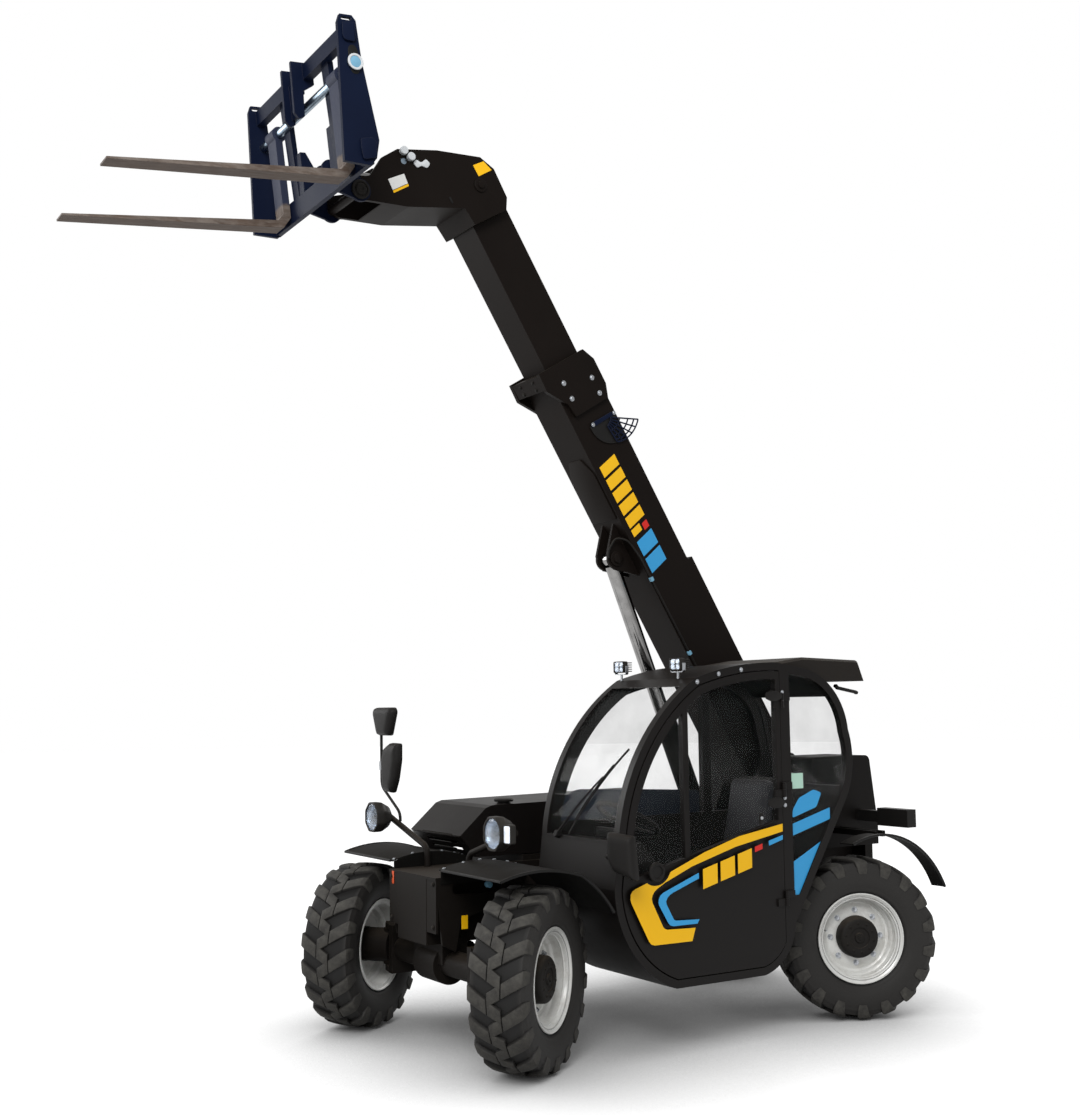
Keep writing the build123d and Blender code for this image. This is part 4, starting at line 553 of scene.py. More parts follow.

# %% [markdown]
# ## Rubber and plastic
# Tyres are vulcanised rubber filled with carbon black. They are matt, with painted shade darkening the grooves, and
# the bars' tops are paler in patches, partly from dust and partly as a painted highlight.
# Housings and guards are moulded polypropylene with a fine leather-like grain from the mould, which breaks
# reflections up without showing as a pattern.

# %% Plastics


def moulded(name, colour, tint, rough=0.55, grain_mm=1.2, depth_mm=0.12, shine=0.18, dust=0.08):
    """Moulded plastic or rubber: two close tones, a cell grain grain_mm wide and a little dust from above."""
    material, tree, where = start_material(name)
    cells = add(tree, "TexVoronoi", {"Vector": where, "Scale": 1 / (grain_mm * MM)})
    cloud = add(tree, "TexNoise", {"Vector": where, "Scale": 1 / 0.08, "Detail": 5.0, "Roughness": 0.6})
    base = add(tree, "Mix", {0: cloud, MIX_A: colour, MIX_B: tint})
    facing = add(tree, "SeparateXYZ", {0: add(tree, "NewGeometry").outputs["Normal"]})
    above = add(tree, "MapRange", {"Value": facing.outputs["Z"], "From Min": 0.3, "From Max": 1.0, "To Max": dust})
    veil = add(tree, "Math", {0: above, 1: cloud}, operation="MULTIPLY")
    dusty = add(tree, "Mix", {0: veil, MIX_A: base, MIX_B: "#857868"})
    soft_edge = add(tree, "Bevel", {"Radius": 0.0025}, samples=4)
    bump = add(tree, "Bump", {"Height": cells.outputs["Distance"], "Strength": 0.25, "Distance": depth_mm * MM,
                              "Normal": soft_edge})
    matt = add(tree, "MapRange", {"Value": cloud, "To Min": rough - 0.07, "To Max": rough + 0.1})
    shader = add(tree, "BsdfPrincipled", {"Base Color": dusty, "Roughness": matt,
                                          "Specular IOR Level": shine, "Normal": bump})
    add(tree, "OutputMaterial", {"Surface": shader})
    return material


black_plastic = moulded("black_moulded_polypropylene", "#131211", "#1B1918")
guard_plastic = moulded("black_guard_rubber", "#0B0A09", "#11100E", rough=0.62, dust=0.04, shine=0.08)
roof_plastic = moulded("weathered_roof_polypropylene", "#1B1816", "#25211D", rough=0.7, grain_mm=2.5, dust=0.16)
seal_rubber = moulded("black_edge_rubber", "#0F0F0F", "#171615", rough=0.5, grain_mm=0.8)
seat_vinyl = moulded("charcoal_seat_vinyl", "#2A2A2C", "#333336", rough=0.6, grain_mm=2.0, depth_mm=0.3)
print("plastics:", *(m.name for m in (black_plastic, guard_plastic, roof_plastic, seal_rubber, seat_vinyl)))

# %% Tyre rubber with painted shade in its grooves and paler bar tops
tyre_rubber, tree, where = start_material("tyre_rubber_dust_and_painted_shade")
worn = add(tree, "Attribute", attribute_name="wear")
cloud = add(tree, "TexNoise", {"Vector": where, "Scale": 1 / 0.05, "Detail": 7.0, "Roughness": 0.68})
scuff = add(tree, "TexNoise", {"Vector": where, "Scale": 1 / 0.006, "Detail": 4.0, "Roughness": 0.7})
rubber = add(tree, "Mix", {0: scuff, MIX_A: "#1B1A19", MIX_B: "#2B2927"})
# Paler patches on the bars' tops: partly road dust, partly a painted highlight where light falls on them.
top = add(tree, "MapRange", {"Value": worn.outputs["Fac"], "From Min": 0.5, "From Max": 1.0, "To Max": 0.75})
patchy = add(tree, "MapRange", {"Value": cloud, "From Min": 0.3, "From Max": 0.7})
dust_and_painted_highlight = add(tree, "Math", {0: top, 1: patchy}, operation="MULTIPLY")
# Painted shade: the grooves and the feet of the bars, low on the wear attribute (the bars' height), are darkened
# towards #0F0E0D.
painted_groove_shade = add(tree, "MapRange", {"Value": worn.outputs["Fac"], "From Min": 0.0, "From Max": 0.4})
dark = add(tree, "Mix", {0: painted_groove_shade, MIX_A: "#0F0E0D", MIX_B: rubber})
tone = add(tree, "Mix", {0: dust_and_painted_highlight, MIX_A: dark, MIX_B: "#56544F"})
rough = add(tree, "MapRange", {"Value": dust_and_painted_highlight, "To Min": 0.62, "To Max": 0.92})
bump = add(tree, "Bump", {"Height": scuff, "Strength": 0.45, "Distance": 0.0008})
shader = add(tree, "BsdfPrincipled", {"Base Color": tone, "Roughness": rough,
                                      "Specular IOR Level": 0.3, "Normal": bump})
add(tree, "OutputMaterial", {"Surface": shader})
print("rubber and plastics ready")

# %% [markdown]
# ## Glass
# Cab panes are toughened float glass, 6 mm thick and faintly green from the iron in it. Light goes straight
# through a pane that thin without bending, so the shader lets it pass straight, and a faint film of dust in
# patches keeps it from looking like a hole.

# %% Glass
glass, tree, where = start_material("toughened_cab_glass")
film = add(tree, "TexNoise", {"Vector": where, "Scale": 1 / 0.25, "Detail": 6.0, "Roughness": 0.6})
tone = add(tree, "Mix", {0: film, MIX_A: "#141B1A", MIX_B: "#262D2C"})
veil = add(tree, "MapRange", {"Value": film, "From Min": 0.35, "From Max": 0.75, "To Min": 0.05,
                              "To Max": 0.11})
shader = add(tree, "BsdfPrincipled", {"Base Color": tone, "Roughness": 0.04, "IOR": 1.45,
                                      "Alpha": veil})
add(tree, "OutputMaterial", {"Surface": shader})

lens, tree, where = start_material("clear_polycarbonate_lens")
ribs = add(tree, "TexWave", {"Vector": where, "Scale": 1 / 0.02, "Distortion": 0.0}, bands_direction="X")
bump = add(tree, "Bump", {"Height": ribs, "Strength": 0.4, "Distance": 0.0008})
shader = add(tree, "BsdfPrincipled", {"Base Color": "#E8EEF4", "Roughness": 0.03, "IOR": 1.55,
                                      "Transmission Weight": 1.0, "Normal": bump})
add(tree, "OutputMaterial", {"Surface": shader})
print("glass ready")

# %% [markdown]
# ## Dress the CAD nodes
# A node whose shape is already right only needs its finish. Its mesh is left alone and the new material
# goes into its slots.

# %% Finishes for the CAD nodes
FINISHES = {
    boom_enamel: ("outer_boom", "inner_boom", "boom_head"),
    cab_enamel: ("cab_frame", "door", "hood"),
    frame_enamel: ("frame", "counterweight", "engine_bay", "front_axle", "rear_axle", "lift_barrel", "tilt_barrel",
                   "lamp_brackets", "knuckle_front_left", "knuckle_front_right", "knuckle_rear_left",
                   "knuckle_rear_right"),
    navy_enamel: ("carriage",),
    tank_enamel: ("fuel_tank", "hydraulic_tank"),
    chrome: ("lift_rod", "tilt_rod"),
    fork_steel: ("fork_left", "fork_right"),
    shaft_steel: ("fork_shaft",),
    engine_iron: ("engine_block",),
    glass: ("windscreen", "rear_glass", "quarter_glass", "inner_glass", "door_glass"),
    black_plastic: ("mirrors", "console", "steering_wheel", "seat_base", "tail_lamps", "roof_lamps", "head_lamps"),
    guard_plastic: ("front_guards", "rear_guards"),
    roof_plastic: ("roof_cap",),
    seat_vinyl: ("seat",),
}
for material, names in FINISHES.items():
    for name in names:
        mesh = frame["nodes"][name].data
        mesh.materials.clear()
        mesh.materials.append(material)
print(sum(map(len, FINISHES.values())), "nodes dressed of", len(frame["nodes"]))

# %% [markdown]
# ## Tyres
# A field tyre is a smooth carcass with bars of rubber standing on it. Each bar starts a little past the
# middle of the tread, runs outwards and round the tyre, and fades down the shoulder. Bars of the two halves
# interlock like fingers, half a pitch apart, and a narrow cut divides each one into a centre block and a
# long shoulder block. Every bar is the same shape, so one is worked out and then turned about the axle.

# %% A wheel's directions
WHEELS = ("front_left", "front_right", "rear_left", "rear_right")


def on_wheel(name):
    """A function that takes (outwards, ahead, up) from a wheel's middle in millimetres to its place in metres."""
    side = 1 if "left" in name else -1
    outward = np.array(joints[f"spin_{name}"]["axis"], float) * side
    turn = np.stack([outward, np.cross(outward, [0, 0, 1]) * side, [0, 0, 1]])
    return lambda p: joint_place(f"spin_{name}") + MM * (p @ turn)


def turns_about_axle(angles):
    """Turns about the wheel's own axis, one 3x3 array an angle."""
    a = np.asarray(angles, float)
    o, i = np.zeros_like(a), np.ones_like(a)
    return np.stack([i, o, o, o, np.cos(a), -np.sin(a), o, np.sin(a), np.cos(a)], -1).reshape(-1, 3, 3)


print("front left wheel is at", on_wheel("front_left")(np.zeros((1, 3))).round(3))

# %% Carcass
TYRE_HALF, CROWN_R = 152.5, 437.5
BEAD_R, BEAD_HALF, RIM_R = 232.0, 118.0, 254.0
wall = arc_through((BEAD_HALF, RIM_R + 4), (TYRE_HALF - 4, 347), (TYRE_HALF - 22, CROWN_R - 10), 26)
depth = np.interp(wall[:, 1], [258, 268, 272, 276, 282, 392, 396, 404, 408, 428],
                  [0, 0, 3, 3, 0, 0, 2.2, 2.2, 0, 0])
lean = np.gradient(wall, axis=0)
lean /= np.linalg.norm(lean, axis=1, keepdims=True)
wall = wall + depth[:, None] * np.stack([lean[:, 1], -lean[:, 0]], 1)
crown = arc_through((TYRE_HALF - 22, CROWN_R - 10), (0, CROWN_R), (22 - TYRE_HALF, CROWN_R - 10), 13)[1:-1]
carcass = turned(np.concatenate([[(BEAD_HALF, BEAD_R)], wall, crown, (wall * [-1, 1])[::-1],
                                 [(-BEAD_HALF, BEAD_R)]]), 144)
print("the carcass has", len(carcass[0]), "points")

# %% Bars of the tread
PITCHES = 18
SKEW = 0.60                                     # how far a bar runs round the tyre for each step outwards
# columns: outwards, radius, lean in degrees, height, width, and the place outwards that sets its run round
BAR = np.array([(-34, 437.0, 0, 20.2, 62, -34), (0, 437.5, 0, 20, 64, 0), (60, 435.2, 4, 20.5, 68, 60),
                (112, 430.6, 12, 19.5, 71, 112), (130.5, 427.0, 38, 17, 72, 136), (141, 410, 64, 9, 69, 146),
                (147.5, 384, 78, 4, 61, 150), (149.5, 366, 84, 0.8, 50, 151)])
CROSS = np.array([(-1.16, -0.3), (-1.04, 0.6), (-0.98, 0.9), (-0.86, 1.0), (0, 1.0),
                  (0.86, 1.0), (0.98, 0.9), (1.04, 0.6), (1.16, -0.3)])


def bar_point(a, p, q):
    """A place on a bar: a runs from its inner end to its foot, p across it, q from under it to its top.

    Its middle line goes outwards along the crown and then down the shoulder. Across is round the tyre, and
    up is at right angles to the carcass.
    """
    along = np.concatenate([[0], np.cumsum(np.hypot(*np.diff(BAR[:, :2], axis=0).T))])
    x, r, tilt, tall, wide, run = (np.interp(a * along[-1], along, column) for column in BAR.T)
    tilt = np.radians(tilt)
    x, r = x + q * tall * np.sin(tilt), r + q * tall * np.cos(tilt)
    turn_by = (SKEW * run + p * wide / 2) / CROWN_R
    return np.stack([x, r * np.cos(turn_by), r * np.sin(turn_by)], -1)


def bar(start, end, rows):
    """One closed block of a bar between two shares of its length, with its end walls drawn in like its sides."""
    a = np.linspace(start, end, rows)
    a = np.concatenate([[start, start, start + 0.012], a[1:-1], [end - 0.012, end, end]])[:, None]
    lift = np.ones(len(a))
    lift[[0, -1]] = -0.3
    lift[[1, -2]] = 0.9
    q = np.minimum(CROSS[None, :, 1], lift[:, None])
    across = np.broadcast_to(CROSS[None, :, 0], q.shape)
    return tube(bar_point(np.broadcast_to(a, q.shape), across, q)), q.reshape(-1)


centre_block, centre_height = bar(0.0, 0.29, 5)
shoulder_block, shoulder_height = bar(0.315, 1.0, 11)
one_bar = join(centre_block, shoulder_block)
spins = np.arange(PITCHES) * 2 * pi / PITCHES
outer_bars = many(one_bar, np.zeros((PITCHES, 3)), turns_about_axle(spins))
mirrored = (one_bar[0] * [-1, 1, 1], one_bar[1])
inner_bars = many(mirrored, np.zeros((PITCHES, 3)), turns_about_axle(spins + pi / PITCHES))
tyre_shape = join(carcass, outer_bars, inner_bars)
# This height goes into the wear attribute. The crown between the bars, at 0, gets the darkest painted shade, and the
# bars' tops get the paler dust and painted highlight.
tyre_height = np.concatenate([np.where(carcass[0][:, 0] ** 2 < 125 ** 2, 0.0, 0.45),
                              np.tile(np.concatenate([centre_height, shoulder_height]), 2 * PITCHES)])
print("a tyre has", sum(len(f) for f in tyre_shape[1]), "faces")
for name in WHEELS:
    piece(f"tread_{name}", f"wheel_{name}", [(tyre_shape, tyre_rubber)], put=on_wheel(name),
          replaces=(f"tyre_{name}",), crease=40, wear=tyre_height)

# %% [markdown]
# ## Wheels
# A steel wheel is two rolled and pressed parts: a rim with a drop centre, so that the tyre can be fitted, and
# a dished disc welded inside it. Both are turned shapes. The enamel on them is a silver with fine aluminium
# flake, so it stays bright from every side. The hub is the black end of the axle's reduction gear, with
# bolts round its cover and eight wheel nuts outside it.

# %% Silver wheel enamel
silver_enamel, tree, where = start_material("silver_flake_enamel")
flake = add(tree, "TexVoronoi", {"Vector": where, "Scale": 1 / 0.0012})           # drawn coarser than real flake
soil = add(tree, "TexNoise", {"Vector": where, "Scale": 1 / 0.07, "Detail": 7.0, "Roughness": 0.7})
clean = add(tree, "MapRange", {"Value": soil, "From Min": 0.5, "From Max": 0.78, "To Max": 0.45})
sparkle = add(tree, "Mix", {0: flake, MIX_A: "#E6E6E3", MIX_B: "#D6D6D2"})
tone = add(tree, "Mix", {0: clean, MIX_A: sparkle, MIX_B: "#93897B"})
gloss = add(tree, "MapRange", {"Value": clean, "To Min": 0.34, "To Max": 0.7})
shader = add(tree, "BsdfPrincipled", {"Base Color": tone, "Roughness": gloss, "Metallic": 0.15,
                                      "Normal": add(tree, "Bevel", {"Radius": 0.002}, samples=4)})
add(tree, "OutputMaterial", {"Surface": shader})
hub_iron = enamel("black_hub_enamel", "#1A1A1B", "#26231F", rough=0.5, wear=0.4, dust=0.35)
print("made", silver_enamel.name, "and", hub_iron.name)

# %% Rim, disc, hub and nuts
EDGE = 118.3                                    # where the tyre's bead meets the flange
SEAT_R = BEAD_R - 0.5
rim_outside = [(128, 253), (124, 256), (EDGE + 1, 255), (EDGE, 250), (EDGE, 233), (112, SEAT_R), (62, SEAT_R),
               (40, 229), (30, 211), (-28, 209), (-40, 229), (-EDGE, SEAT_R), (-EDGE, 250), (-EDGE - 1, 255),
               (-124, 256), (-128, 253)]
rim_inside = [(-127, 248), (-121, 244), (-117, 226), (-100, 222), (-42, 220), (-32, 202), (0, 200), (31, 201),
              (40, 207), (47, 217), (58, 221), (88, 221), (92, 217), (96, 217), (100, 222), (115, 225), (121, 243),
              (127, 248)]
rim_shape = turned(rim_outside + rim_inside, 96)
disc_shape = turned([(24, 203), (20, 199), (16, 188), (20, 176), (26, 165), (26, 116), (26, 60), (12, 60),
                     (12, 165), (6, 176), (2, 190), (4, 203)], 96)
hub_shape = turned([(26, 117), (34, 119), (84, 116), (94, 111), (100, 104), (104, 92), (105, 60), (104, 58),
                    (98, 56), (97, 30), (100, 28), (106, 26), (107, 0), (-32, 0), (-32, 96), (20, 97)], 64)


def bolts_round(radius, count, size, start, tall, offset=0.0, stud=0.5):
    """Hexagon heads round the axle: each is a six-sided profile with a chamfer, a washer and a stud's end."""
    head = carried([(start + 2.5, 0, 0), (start + tall - 1.5, 0, 0), (start + tall, 0, 0)], circle(size, 6),
                   scale=[1, 1, 0.9])
    washer = carried([(start, 0, 0), (start + 3, 0, 0)], circle(size * 1.35, 16))
    end = carried([(start + tall - 1, 0, 0), (start + tall + stud * size, 0, 0)], circle(size * 0.5, 10))
    a = offset + np.arange(count) * 2 * pi / count
    spots = np.stack([0 * a, radius * np.cos(a), radius * np.sin(a)], 1)
    return many(join(head, washer, end), spots, turns_about_axle(a))


nuts = bolts_round(150, 8, 12.5, 26, 15)
cover_bolts = bolts_round(82, 10, 6.0, 103, 6, offset=0.2, stud=0.0)
valve = carried(smooth_path([(40, 206, 40), (60, 196, 44), (84, 190, 44)], 6), circle(3.6, 10))
plug = carried([(106, 0, 0), (114, 0, 0)], circle(11, 6))
for name in WHEELS:
    piece(f"wheel_{name}", f"wheel_{name}",
          [(join(rim_shape, disc_shape), silver_enamel), (hub_shape, hub_iron), (join(nuts, valve), zinc),
           (join(cover_bolts, plug), hub_iron)], put=on_wheel(name), replaces=(f"rim_{name}",))

# %% [markdown]
# ## Lamps
# A work lamp is a housing, a bright bowl, a source and a clear front. The housing here is an octagonal bowl:
# one outline that grows and shrinks as it goes forward, out over the outside and back in along the bowl.

# %% Lamp materials and the head lamps
reflector, tree, where = start_material("aluminised_reflector")               # vapour-coated, nearly a mirror
facets = add(tree, "TexVoronoi", {"Vector": where, "Scale": 1 / 0.011}, feature="F1")
shade = add(tree, "Mix", {0: facets, MIX_A: "#E6EDF6", MIX_B: "#A9B9CF"})
bump = add(tree, "Bump", {"Height": facets, "Strength": 0.5, "Distance": 0.002})
shader = add(tree, "BsdfPrincipled", {"Base Color": shade, "Metallic": 1.0, "Roughness": 0.16, "Normal": bump})
add(tree, "OutputMaterial", {"Surface": shader})
led, tree, where = start_material("white_led_emitter")                        # a pale phosphor chip, faintly lit
chips = add(tree, "TexVoronoi", {"Vector": where, "Scale": 1 / 0.018})
shade = add(tree, "Mix", {0: chips, MIX_A: "#FFFFFF", MIX_B: "#D5E2F2"})
shader = add(tree, "BsdfPrincipled", {"Base Color": shade, "Roughness": 0.3, "Emission Color": "#E8F0FF",
                                      "Emission Strength": 0.35})
add(tree, "OutputMaterial", {"Surface": shader})
lamp_body = moulded("black_lamp_polyamide", "#1D1C1B", "#2B2926", rough=0.5)


def stacked(outline, levels):
    """Rings of one outline: each level is (depth, scale), and the first and last rings are closed."""
    return tube(np.stack([np.column_stack([np.full(len(outline), depth), np.asarray(outline) * size])
                          for depth, size in levels]))


def faced(shape, place, yaw=0.0):
    """The shape's (ahead, left, up) at a place: ahead is the machine's front, turned by yaw degrees."""
    a = radians(yaw)
    turn = np.array([[sin(a), -cos(a), 0], [cos(a), sin(a), 0], [0, 0, 1]])
    return shape[0] @ turn + np.asarray(place, float), shape[1]


corner = radians(45) * (np.arange(8) + 0.5)
bowl = stacked(rounded(92 * np.stack([np.cos(corner), np.sin(corner)], 1), 10, 3),
               [(0, 0.5), (2, 0.60), (14, 0.72), (56, 0.98), (66, 1.0), (104, 1.0), (109, 0.98), (110, 0.93),
                (108, 0.90), (100, 0.89), (72, 0.62)])
mirror_bowl = turned([(60, 0), (62, 26), (70, 44), (84, 60), (103, 76), (105, 78), (105, 82), (98, 82), (66, 50),
                      (56, 0)], 48)
bulb = turned([(60, 0), (60, 13), (84, 13), (92, 10), (94, 0)], 20)
front_lens = turned([(112, 0), (111, 30), (108, 58), (104, 76), (101, 76), (105, 58), (108, 30), (109, 0)], 48)
bezel = turned([(102, 76), (109, 77), (110, 81), (104, 84), (100, 82)], 48)
led_house = flat(oblong(58, 96, 12), 34, rim=3)
led_face = laid(flat(oblong(44, 82, 8), 3, rim=1), (33, 0, 0))
for side, name in ((1, "left"), (-1, "right")):
    shapes = [(join(bowl, bezel), lamp_body), (mirror_bowl, reflector), (bulb, lamp_body), (front_lens, lens)]
    parts = [(faced(shape, (side * 695, -1170, 1175)), finish) for shape, finish in shapes]
    if side > 0:
        parts += [(faced(shape, (805, -1225, 1178), yaw=8), finish)
                  for shape, finish in ((led_house, lamp_body), (led_face, led))]
    piece(f"head_lamp_{name}", "chassis", parts, replaces=("head_lamps",))

# %% [markdown]
# ## Mirrors
# Mirror shells are moulded, wide at the top and drawn in below, and crowned at the back. Each is one outline
# stacked along the way that it looks, with the glass let into its rear face.

# %% Mirror shells and stalks
mirror_glass, tree, where = start_material("silvered_mirror_glass")
film = add(tree, "TexNoise", {"Vector": where, "Scale": 1 / 0.04, "Detail": 5.0})
haze = add(tree, "MapRange", {"Value": film, "From Min": 0.45, "From Max": 0.9, "To Min": 0.03, "To Max": 0.25})
shade = add(tree, "Mix", {0: film, MIX_A: "#C6D0D6", MIX_B: "#B3BFC6"})
shader = add(tree, "BsdfPrincipled", {"Base Color": shade, "Metallic": 1.0, "Roughness": haze})
add(tree, "OutputMaterial", {"Surface": shader})


def mirror(outline, place, deep, yaw=0.0):
    """A shell and its glass, of a (left, up) outline about place, the glass facing back and turned by yaw."""
    rim = rounded(outline, 16, 4)
    body = stacked(rim, [(-deep * 0.42, 0.90), (-deep * 0.5, 0.95), (-deep * 0.5, 0.99), (-deep * 0.3, 1.0),
                         (0, 0.98), (deep * 0.3, 0.90), (deep * 0.45, 0.76), (deep * 0.5, 0.55)])
    pane = stacked(rim, [(-deep * 0.43, 0.90), (-deep * 0.46, 0.90), (-deep * 0.46, 0.86)])
    return [(faced(body, place, yaw), black_plastic), (faced(pane, place, yaw), mirror_glass)]


MIRROR_DEEP = 56
upper_outline = [(-71, -83), (71, -83), (133, 60), (112, 83), (-113, 83), (-133, 60)]
lower_outline = [(-82, -139), (20, -146), (67, -67), (102, 47), (102, 144), (-8, 146), (-74, 116), (-102, 42)]
left_outline = [(-86, 118), (65, 101), (86, -120), (-48, -81), (-81, -18)]
stalk = smooth_path([(-570, -1153, 1152), (-570, -1153, 1200), (-815, -1153, 1345), (-823, -1153, 1790)], 40, 6)
clamp = [(-819, -1153, 1440), (-820, -1153, 1490)]
arms = [carried([(-815, -1153, z), (-745, -1158, z)], circle(8, 10)) for z in (1400, 1500)]
left_arm = smooth_path([(845, -640, 1010), (860, -700, 1040), (950, -735, 1052)], 18, 4)
piece("cab_mirrors", "chassis",
      [(carried(stalk, circle(8.5, 12), up=(0, 1, 0)), black_plastic),
       (carried(clamp, circle(14, 14), up=(0, 1, 0)), zinc),
       (join(*arms), black_plastic), *mirror(upper_outline, (-752, -1170, 1726), MIRROR_DEEP),
       *mirror(lower_outline, (-664, -1170, 1456), MIRROR_DEEP), (carried(left_arm, circle(11, 12)), black_plastic),
       *mirror(left_outline, (1008, -712, 1053), MIRROR_DEEP, yaw=22)],
      replaces=("mirrors",), crease=50)

# %% [markdown]
# ## Stripes
# Cut vinyl film, 0.1 mm thick on the machine and drawn a little thicker here so it stands clear of the paint.
# Only plain bands and blocks are used. They are flat plates of an outline, so a wavy edge or a notch is just
# more points.

# %% Film


def film_of(name, colour, tint):
    """Cast vinyl: even and glossy, with a slow change of tone and a fine orange peel from the paint beneath."""
    material, tree, where = start_material(name)
    cloud = add(tree, "TexNoise", {"Vector": where, "Scale": 1 / 0.3, "Detail": 4.0})
    peel = add(tree, "TexNoise", {"Vector": where, "Scale": 1 / 0.003})
    bump = add(tree, "Bump", {"Height": peel, "Strength": 0.05, "Distance": 0.0005})
    tone = add(tree, "Mix", {0: cloud, MIX_A: colour, MIX_B: tint})
    gloss = add(tree, "MapRange", {"Value": cloud, "To Min": 0.3, "To Max": 0.42})
    shader = add(tree, "BsdfPrincipled", {"Base Color": tone, "Roughness": gloss, "Specular IOR Level": 0.35,
                                          "Normal": bump})
    add(tree, "OutputMaterial", {"Surface": shader})
    return material


yellow_film = film_of("yellow_cast_vinyl", "#FFC60B", "#FBBE05")
blue_film = film_of("blue_cast_vinyl", "#3AA5E0", "#349CD8")
red_film = film_of("red_cast_vinyl", "#E0281E", "#D2221A")
white_film = film_of("white_cast_vinyl", "#ECECEA", "#E0E0DC")
green_film = film_of("pale_green_paper_label", "#BFE3D2", "#B4DBC8")
amber_film = film_of("orange_reflective_vinyl", "#D9531E", "#B8421A")
red_lens = film_of("red_lamp_acrylic", "#8E1A16", "#7C1512")
FILM = 0.8                                      # millimetres
DOOR_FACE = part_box("door")[1].x / MM
QUARTER_FACE, BOOM_FACE, HEAD_FACE, NOSE_FACE = 890.3, 140.2, 170.2, 270.2


def cut(outline, x, radius=0.0):
    """A piece of film of a (b, c) outline in millimetres, standing out along x from the surface at x."""
    edge = rounded(outline, radius) if radius else np.asarray(outline, float)
    return laid(flat(edge, FILM, rim=0.3, steps=2), (x, 0, 0))


def slanted(start, end, low, high, slant, count, gap):
    """Bars side by side between start and end: each is a parallelogram leaning by slant, gap apart."""
    wide = (end - start - gap * (count - 1)) / count
    first = start + np.arange(count) * (wide + gap)
    return [np.array([(a, low), (a + wide, low), (a + wide + slant, high), (a + slant, high)]) for a in first]


def tipped(outline):
    """An outline on the door, turned to run up with its band."""
    a, about = radians(14.5), (-130, 830)
    return (np.asarray(outline, float) - about) @ np.array([[cos(a), sin(a)], [-sin(a), cos(a)]]) + about


print("films:", *(m.name for m in (yellow_film, blue_film, red_film, white_film, green_film, amber_film,
                                   red_lens)))

# %% Bands on the door and the quarter
upper_edge = [(433, 1147), (120, 1097), (-119, 1028), (-345, 943)]
notch = arc_through((-352, 930), (-431, 879), (-498, 897), 12)
outer_turn = [(-572, 873), (-592, 862), (-602, 845), (-603, 822), (-597, 802), (-492, 604), (-478, 588),
              (-457, 581), (-212, 579)]
inner_turn = [(-189, 645), (-372, 652), (-390, 658), (-401, 670), (-465, 796), (-469, 815), (-464, 834),
              (-452, 850), (-436, 862), (-381, 891), (-203, 961), (95, 1043), (432, 1105)]
thin_turn = [(-160, 925), (-397, 840), (-414, 828), (-424, 811), (-427, 795), (-424, 780), (-366, 684),
             (-352, 671), (-332, 666), (-176, 665), (-162, 686), (-316, 693), (-328, 698), (-336, 710),
             (-375, 780), (-378, 796), (-368, 814), (-350, 828), (-327, 838), (-159, 896)]
marks = [(cut(tipped(o), DOOR_FACE), yellow_film) for o in slanted(-130, 220, 838, 938, 26, 3, 22)]
piece("door_bands", "door",
      [(cut(np.concatenate([upper_edge, notch, outer_turn, inner_turn]), DOOR_FACE), yellow_film),
       (cut(thin_turn, DOOR_FACE), blue_film),
       (cut([(329, 1060), (432, 1086), (431, 1061), (331, 1034)], DOOR_FACE), blue_film), *marks,
       (cut(tipped([(262, 910), (318, 910), (325, 938), (269, 938)]), DOOR_FACE), red_film)])
wedge = cut([(529, 927), (769, 1041), (535, 652)], QUARTER_FACE, radius=6)
sash = cut([(523, 1069), (821, 1150), (821, 1215), (524, 1134)], QUARTER_FACE, radius=5)
cap_band = cut([(537, 1170), (720, 1222), (760, 1300), (700, 1320), (590, 1278), (542, 1215)], QUARTER_FACE,
               radius=14)
paper = cut([(525, 1330), (625, 1330), (625, 1415), (525, 1415)], QUARTER_FACE, radius=2)
piece("quarter_bands", "chassis", [(join(wedge, sash, cap_band), blue_film), (paper, green_film)])

# %% [markdown]
# ## Roof lamps
# The work lamps on the roof are cast aluminium cubes with cooling fins, four emitters behind a clear front
# and a U-shaped bracket.

# %% Roof lamps
fin = flat(oblong(84, 5, 1.5), 34, rim=1)
fins = join(*[laid(fin, (-44, 0, z)) for z in (-24, -12, 0, 12, 24)])
cube = stacked(rounded([(-46, -33), (46, -33), (46, 33), (-46, 33)], 9, 3),
               [(-12, 0.9), (-10, 0.98), (20, 1.0), (24, 0.98), (25, 0.92), (24, 0.88), (16, 0.86)])
emitters = many(turned([(15, 0), (15, 14), (19, 14), (22, 8), (23, 0)], 20),
                [(0, y, z) for y in (-21, 21) for z in (-13, 13)])
window = laid(flat(oblong(80, 55, 6), 2, rim=0.5), (21, 0, 0))
yoke = carried(smooth_path([(0, -50, 6), (0, -50, -42), (0, 50, -42), (0, 50, 6)], 10, 4), oblong(4, 22, 1.5),
               up=(1, 0, 0))
post = carried([(0, 0, -78), (0, 0, -40)], circle(7, 12), up=(1, 0, 0))
shapes = [(join(fins, cube), lamp_body), (join(yoke, post), zinc), (emitters, led), (window, lens)]
for x, name in ((760, "left"), (235, "right")):
    parts = [(faced(shape, (x, -140, 2022), yaw=2), finish) for shape, finish in shapes]
    piece(f"roof_lamp_{name}", "chassis", parts, replaces=("roof_lamps",))

# %% [markdown]
# ## Fasteners
# Nearly every bolt here is the same thing: a six-sided head with a chamfer, on a round washer. It is worked
# out once along the first axis and then turned to stand on whichever face it belongs to.

# %% Bolt heads


